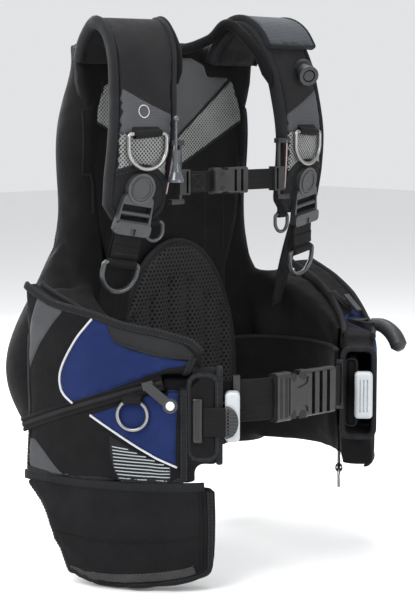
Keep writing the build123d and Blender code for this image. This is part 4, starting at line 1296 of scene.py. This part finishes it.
# ---- round cap on the zip pull, without any mark ----
def pull_cap():
    t = math.radians(218.6)
    bail = (ZIP_FRAME @ Matrix.Translation(((ZIP_R + 15.2) * math.cos(t), (ZIP_R + 15.2) * math.sin(t), 0))
            @ Matrix.Rotation(t, 4, "Z") @ Matrix.Rotation(math.radians(36), 4, "X"))
    parts = []
    for face in (1, -1):
        rings = [(0.0, 2.5), (3.6, 2.5), (4.6, 2.2), (5.2, 1.7)]
        verts = [bail @ Vector((rings[0][1] * face, 0, -37))]
        for r, h in rings[1:]:
            verts += [bail @ Vector((h * face, r * math.cos(a), -37 + r * math.sin(a))) for a in turn(24)]
        faces = [(0, 1 + k, 1 + (k + 1) % 24) for k in range(24)]
        for ring in range(2):
            for k in range(24):
                a, b = 1 + ring * 24 + k, 1 + ring * 24 + (k + 1) % 24
                faces.append((a, a + 24, b + 24, b))
        parts.append((verts, faces, [(0, 0)] * len(verts)))
    verts, faces, uvs = merge(parts)
    fix_normals(make("zip_pull_right_cap", verts, faces, white_cap, "zip_pull_right", uvs))


pull_cap()


# ---- webbing tabs that hold the rings ----
def tab_loop(name, centre, along, tail, radius, width, length):
    """Webbing folded round a bar at centre that runs along; both layers leave it in the direction tail."""
    along, tail = Vector(along).normalized(), Vector(tail).normalized()
    out = along.cross(tail)
    places = []
    for k in range(19):
        t = math.radians(-90 + 360 * (k - 4.5) / 19 * 0.95)
        places.append((centre + (out * math.cos(t) + tail * math.sin(t)) * radius,
                       out * math.cos(t) + tail * math.sin(t)))
    ring_piece(f"{name}_loop", places, oval(width, 1.7, 14, 5), webbing)
    base = centre + tail * radius * 0.6
    legs = []
    for shift in (-1.0, 1.0):
        line = [base + out * shift + tail * length * k / 6 for k in range(7)]
        legs.append(sweep(line, [out] * 7, oval(width, 1.8, 14, 5)))
    verts, faces, uvs = merge(legs)
    web = make(f"{name}_legs", verts, faces, webbing, "vest", uvs)
    line = [base + tail * 6 + along * x + out * 2.0 for x in (-width * 0.4, 0.0, width * 0.4)]
    stitches(f"{name}_stitch", even(line, 2.0), [out] * len(even(line, 2.0)), 0.1)
    return web


for word, side in SIDES:
    bar = PAD_TURN @ Vector((0, -PAD_T / 2 - 5.6, 239))
    across = PAD_TURN.to_3x3() @ Vector((1, 0, 0))
    web = tab_loop(f"shoulder_tab_{word}", bar if side > 0 else flip(bar),
                   across if side > 0 else flip(across) * -1,
                   (0, 0.55, 0.83), 3.9, 38.0, 9.0)
    bar = PAD_TURN @ Vector((23, 12, 133.6))
    tab_loop(f"end_tab_{word}", bar if side > 0 else flip(bar), across if side > 0 else flip(across) * -1,
             (0, 0, 1),
             3.4, 14.0, 12.0)
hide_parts("ring_tabs")
RING_A = math.radians(216.5)
ring_bar = SIDE_C + Vector((235.2 * math.cos(RING_A), 235.2 * math.sin(RING_A), -63.0))
tab_loop("pocket_tab", ring_bar, (-math.sin(RING_A), math.cos(RING_A), 0),
         (-math.cos(RING_A) * 0.7, -math.sin(RING_A) * 0.7, 0.7), 4.1, 22.0, 9.0)
low_bar = Vector((146.3, -275.2, -190.0))
tab_loop("low_tab", low_bar, (math.cos(math.radians(43.5)), math.sin(math.radians(43.5)), 0), (0, 0, 1),
         4.0, 13.0, 52.0)


# ---- tank band ----
def tank_band():
    def radius(angle):
        a = abs(angle)
        if a >= 46:
            return 92.0
        if a <= 37:
            return 100.6
        return 92.0 + (46 - a) / 9 * 8.6

    places = []
    for k in range(180):
        angle = -180 + 2 * k
        out = Vector((math.sin(math.radians(angle)), -math.cos(math.radians(angle)), 0))
        places.append((out * (radius(angle) + 1.0), out))
    band = ring_piece("tank_band_web", places, oval(50.0, 1.9, 18, 6), webbing)
    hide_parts("tank_band")


tank_band()

# ---- chest rail piping ----
for word, side in SIDES:
    rows = [pad_mid(pad_edge(PAD_INNER, s) - 1.0, s, side) for s in range(236, 300, 4)]
    path_piece(f"rail_piping_{word}", [p + n * (PAD_T / 2 + 1.6) for p, n, _ in rows],
               [n for _, n, _ in rows],
               oval(1.8, 1.8, 8), pink_thread)


# ---- right sleeve: a bound window, the pouch's clip and webbing, and the ribbed grip ----
def solid_outline(place, outline, thick):
    """A flat plate over points (a, b), from height 0 to thick of place(a, b, height)."""
    n = len(outline)
    ca = sum(a for a, _ in outline) / n
    cb = sum(b for _, b in outline) / n
    inner = [(ca + (a - ca) * 0.93, cb + (b - cb) * 0.93) for a, b in outline]
    rows = [(outline, 0.0), (outline, thick * 0.7), (inner, thick)]
    verts = [place(a, b, h) for line, h in rows for a, b in line]
    faces = [tuple(range(2 * n, 3 * n))]
    for r in range(2):
        for k in range(n):
            a, b = r * n + k, r * n + (k + 1) % n
            faces.append((a, b, b + n, a + n))
    return verts, faces, [(a, b) for line, _ in rows for a, b in line]


WAIST_FACE = BUCKLE_Y - 8.0
CHEST_FACE = STRAP_Y - 6.0
SLEEVE_FACE = 16.0


def plate_piece(name, place, outlines, thick, material, body="vest"):
    verts, faces, uvs = merge([solid_outline(place, outline, thick) for outline in outlines])
    obj = make(name, verts, faces, material, body, uvs)
    fix_normals(obj)
    obj.data.polygons.foreach_set("use_smooth", [False] * len(obj.data.polygons))


def box_outline(a0, a1, b0, b1, radius):
    """A rounded rectangle between those sides."""
    return [(a + (a0 + a1) / 2, b + (b0 + b1) / 2)
            for a, b in rounded_loop((a1 - a0) / 2, (b1 - b0) / 2, radius, 3)]


def right_face(height):
    """Places on the right sleeve's outer face, that far out from the sleeve's middle."""
    return lambda t, z, h: sleeve_at(t, height + h, z, 1)


window = box_outline(24.0, 57.0, -132.0, -34.0, 11.0)
shade = fabric("sleeve_shade", (0.003, 0.003, 0.0034), "plain", 1.2, 0.1, 0.9, 0.0)
plate_piece("sleeve_right_window", right_face(SLEEVE_FACE), [window], 0.5, shade)
outward = sleeve_way(0, 1, 0, 1)
rim = [(sleeve_at(t, SLEEVE_FACE + 0.6, z, 1), outward) for t, z in window]
ring_piece("sleeve_right_window_binding", rim, oval(6.0, 3.2, 12, 2.8), binding)
ring_piece("sleeve_right_window_seam", [(p + outward * 1.3, outward) for p, _ in rim], oval(0.8, 0.8, 6),
           thread)
clip = [sleeve_at(34.0, SLEEVE_FACE + 2.6, z, 1) for z in range(-112, -58, 3)]
path_piece("sleeve_right_clip", clip, [outward] * len(clip), oval(11.0, 5.0, 14, 3.2), hard)
ribs = [box_outline(t - 0.6, t + 0.6, -110, -62, 0.5) for t in (31.0, 33.5, 36.0)]
plate_piece("sleeve_right_clip_ribs", right_face(SLEEVE_FACE + 4.8), ribs, 0.9, hard)
pull_web = [sleeve_at(t, SLEEVE_FACE + 1.8 + 0.12 * (t - 40), -88.0, 1) for t in range(40, 72, 2)]
strap("weight_pouch_right_pull", pull_web, [outward] * len(pull_web), 34.0, "weight_right")
half_disc = [(66.0 + 15.0 * math.sin(math.pi * k / 18),
              -88.0 + 19.0 * math.cos(math.pi * k / 18)) for k in range(19)]
plate_piece("weight_handle_right_grip", right_face(20.4), [half_disc], 1.8, satin_hard, "weight_right")
grip_ribs = []
for z in range(-103, -72, 4):
    reach = 14.0 * math.sqrt(max(0.0, 1 - ((z + 88) / 19.0) ** 2))
    grip_ribs.append(box_outline(66.5, 66.5 + reach, z - 1.0, z + 1.0, 0.8))
plate_piece("weight_handle_right_ribs", right_face(22.0), grip_ribs, 0.9, hard, "weight_right")


# ---- side-release buckles: slots and hollows as thin near-black sheets of painted shade, and raised ribs on their faces ----
def buckle_face(y, z0):
    """Places on a buckle's front face."""
    return lambda x, z, h: Vector((x, y - h, z0 + z))


# painted shade: near-black, dull sheets laid on the buckle faces stand in for the shade inside the slots and
# hollows, which are not cut into the buckle
painted_hollow_shade = plastic("painted_recess_shade", (0.0015, 0.0015, 0.0018), 0.7)
slot_shade_outlines = [box_outline(x, x + 4.4, -25, 25, 1.4) for x in (-40, -31.5)]
plate_piece("waist_buckle_slot_painted_shade", buckle_face(WAIST_FACE, WAIST_Z), slot_shade_outlines, 0.25, painted_hollow_shade)
hollow_shade_outlines = []
for sign in (1, -1):
    hollow_shade_outlines.append([(x, sign * z) for x, z in ((-21, 27), (-21, 20), (-16, 16.5), (-13, 20), (-13, 27))])
    hollow_shade_outlines.append([(x, sign * z) for x, z in ((-9, 28), (-8, 22), (-2, 18), (4, 20), (4, 28))])
    hollow_shade_outlines.append([(-17 + 3.0 * math.cos(t), sign * (10.5 + 2.6 * math.sin(t))) for t in turn(14)])
plate_piece("waist_buckle_recesses_painted_shade", buckle_face(WAIST_FACE, WAIST_Z), hollow_shade_outlines, 0.3, painted_hollow_shade)
waist_shape = smooth([(-24, 28), (-14, 14), (-8, 12), (4, 17), (7, 26)], 4)
raised = [(x, z * 0.82) for x, z in waist_shape] + [(x, -z * 0.82) for x, z in reversed(waist_shape)]
plate_piece("waist_buckle_body", buckle_face(WAIST_FACE, WAIST_Z), [raised], 1.6, hard)
small = []
for sign in (1, -1):
    small.append([(-20 + 3.4 * math.cos(t), sign * 9.0 + 3.0 * math.sin(t)) for t in turn(12)])
plate_piece("chest_buckle_recesses_painted_shade", buckle_face(CHEST_FACE, CHEST_Z), small, 0.3, painted_hollow_shade, "chest_right")
plate_piece("chest_buckle_body", buckle_face(CHEST_FACE, CHEST_Z), [box_outline(-33, -25, -14, 14, 3.0)],
            1.2, hard,
            "chest_right")

# ---- inflator lever: a rubber paddle that thickens towards its tip ----
lever_line = even(smooth([(197, -284, -8), (201, -297, -9), (202, -309, -14), (201, -321, -23),
                          (199, -331, -37)], 8),
                  1.5)
lever = path_piece("inflator_lever_grip", lever_line, [Vector((0.97, 0.24, 0))] * len(lever_line),
                   oval(15.0, 13.0, 20, 2.4), rubber, "inflator_lever",
                   lambda t: 1.0 + 0.42 * math.sin(math.pi * min(t, 0.96) * 0.62) - 0.7 * max(0.0,
                                                                                              t - 0.9) / 0.1)
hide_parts("inflator_lever")
for k in range(4):
    place = lever_line[12 + 5 * k]
    run = (lever_line[13 + 5 * k] - place).normalized()
    side = Vector((0.97, 0.24, 0))
    up = run.cross(side)
    radius = 8.6 + 0.5 * k
    ring = [(place + side * math.cos(t) * radius * 0.92 + up * math.sin(t) * radius,
             side * math.cos(t) + up * math.sin(t)) for t in turn(24)]
    ring_piece(f"inflator_lever_rib_{k}", ring, oval(1.6, 1.4, 8), rubber, "inflator_lever")


# ---- floor, light and camera ----
FLOOR_Z = cad_box[0][2] - 0.002
floor_material = Nodes("floor_paper", 0.95)
floor_material.put(floor_material.shader.inputs["Base Color"], rgba((0.86, 0.86, 0.86)))
bpy.ops.mesh.primitive_plane_add(size=14.0, location=(0, 0, FLOOR_Z))
floor = bpy.context.object
floor.name = "floor"
floor.data.materials.append(floor_material.mat)


def lamp(name, place, aim, size, power):
    data = bpy.data.lights.new(name, "AREA")
    data.size = size
    data.energy = power
    obj = bpy.data.objects.new(name, data)
    obj.location = place
    obj.rotation_euler = (Vector(aim) - Vector(place)).to_track_quat("-Z", "Y").to_euler()
    bpy.context.scene.collection.objects.link(obj)


AIM = Vector((0.0, -0.185, 0.03))
AZIMUTH, ELEVATION, DISTANCE = math.radians(-43), math.radians(6.5), 2.2
back = Vector((math.sin(AZIMUTH) * math.cos(ELEVATION), -math.cos(AZIMUTH) * math.cos(ELEVATION),
               math.sin(ELEVATION)))
right = Vector((math.cos(AZIMUTH), math.sin(AZIMUTH), 0))
lamp("key", AIM + back * 1.5 - right * 1.3 + Vector((0, 0, 1.6)), AIM, 1.4, 55)
lamp("fill", AIM + back * 1.7 + right * 1.7 + Vector((0, 0, 0.5)), AIM, 1.6, 28)
lamp("top", AIM + Vector((0.1, 0.5, 1.8)), AIM, 1.5, 40)
lamp("rim", AIM - back * 1.4 - right * 1.2 + Vector((0, 0, 0.9)), AIM, 1.0, 26)
world = bpy.data.worlds.new("studio")
world.use_nodes = True
world.node_tree.nodes["Background"].inputs["Color"].default_value = (0.93, 0.94, 0.96, 1)
world.node_tree.nodes["Background"].inputs["Strength"].default_value = 0.82
bpy.context.scene.world = world
bpy.context.scene.view_settings.view_transform = "Standard"

camera_data = bpy.data.cameras.new("camera")
camera_data.sensor_fit = "VERTICAL"
camera_data.sensor_height = 36.0
camera_data.lens = 105.6
camera = bpy.data.objects.new("camera", camera_data)
camera.location = AIM + back * DISTANCE
camera.rotation_euler = (-back).to_track_quat("-Z", "Y").to_euler()
bpy.context.scene.collection.objects.link(camera)
bpy.context.scene.camera = camera
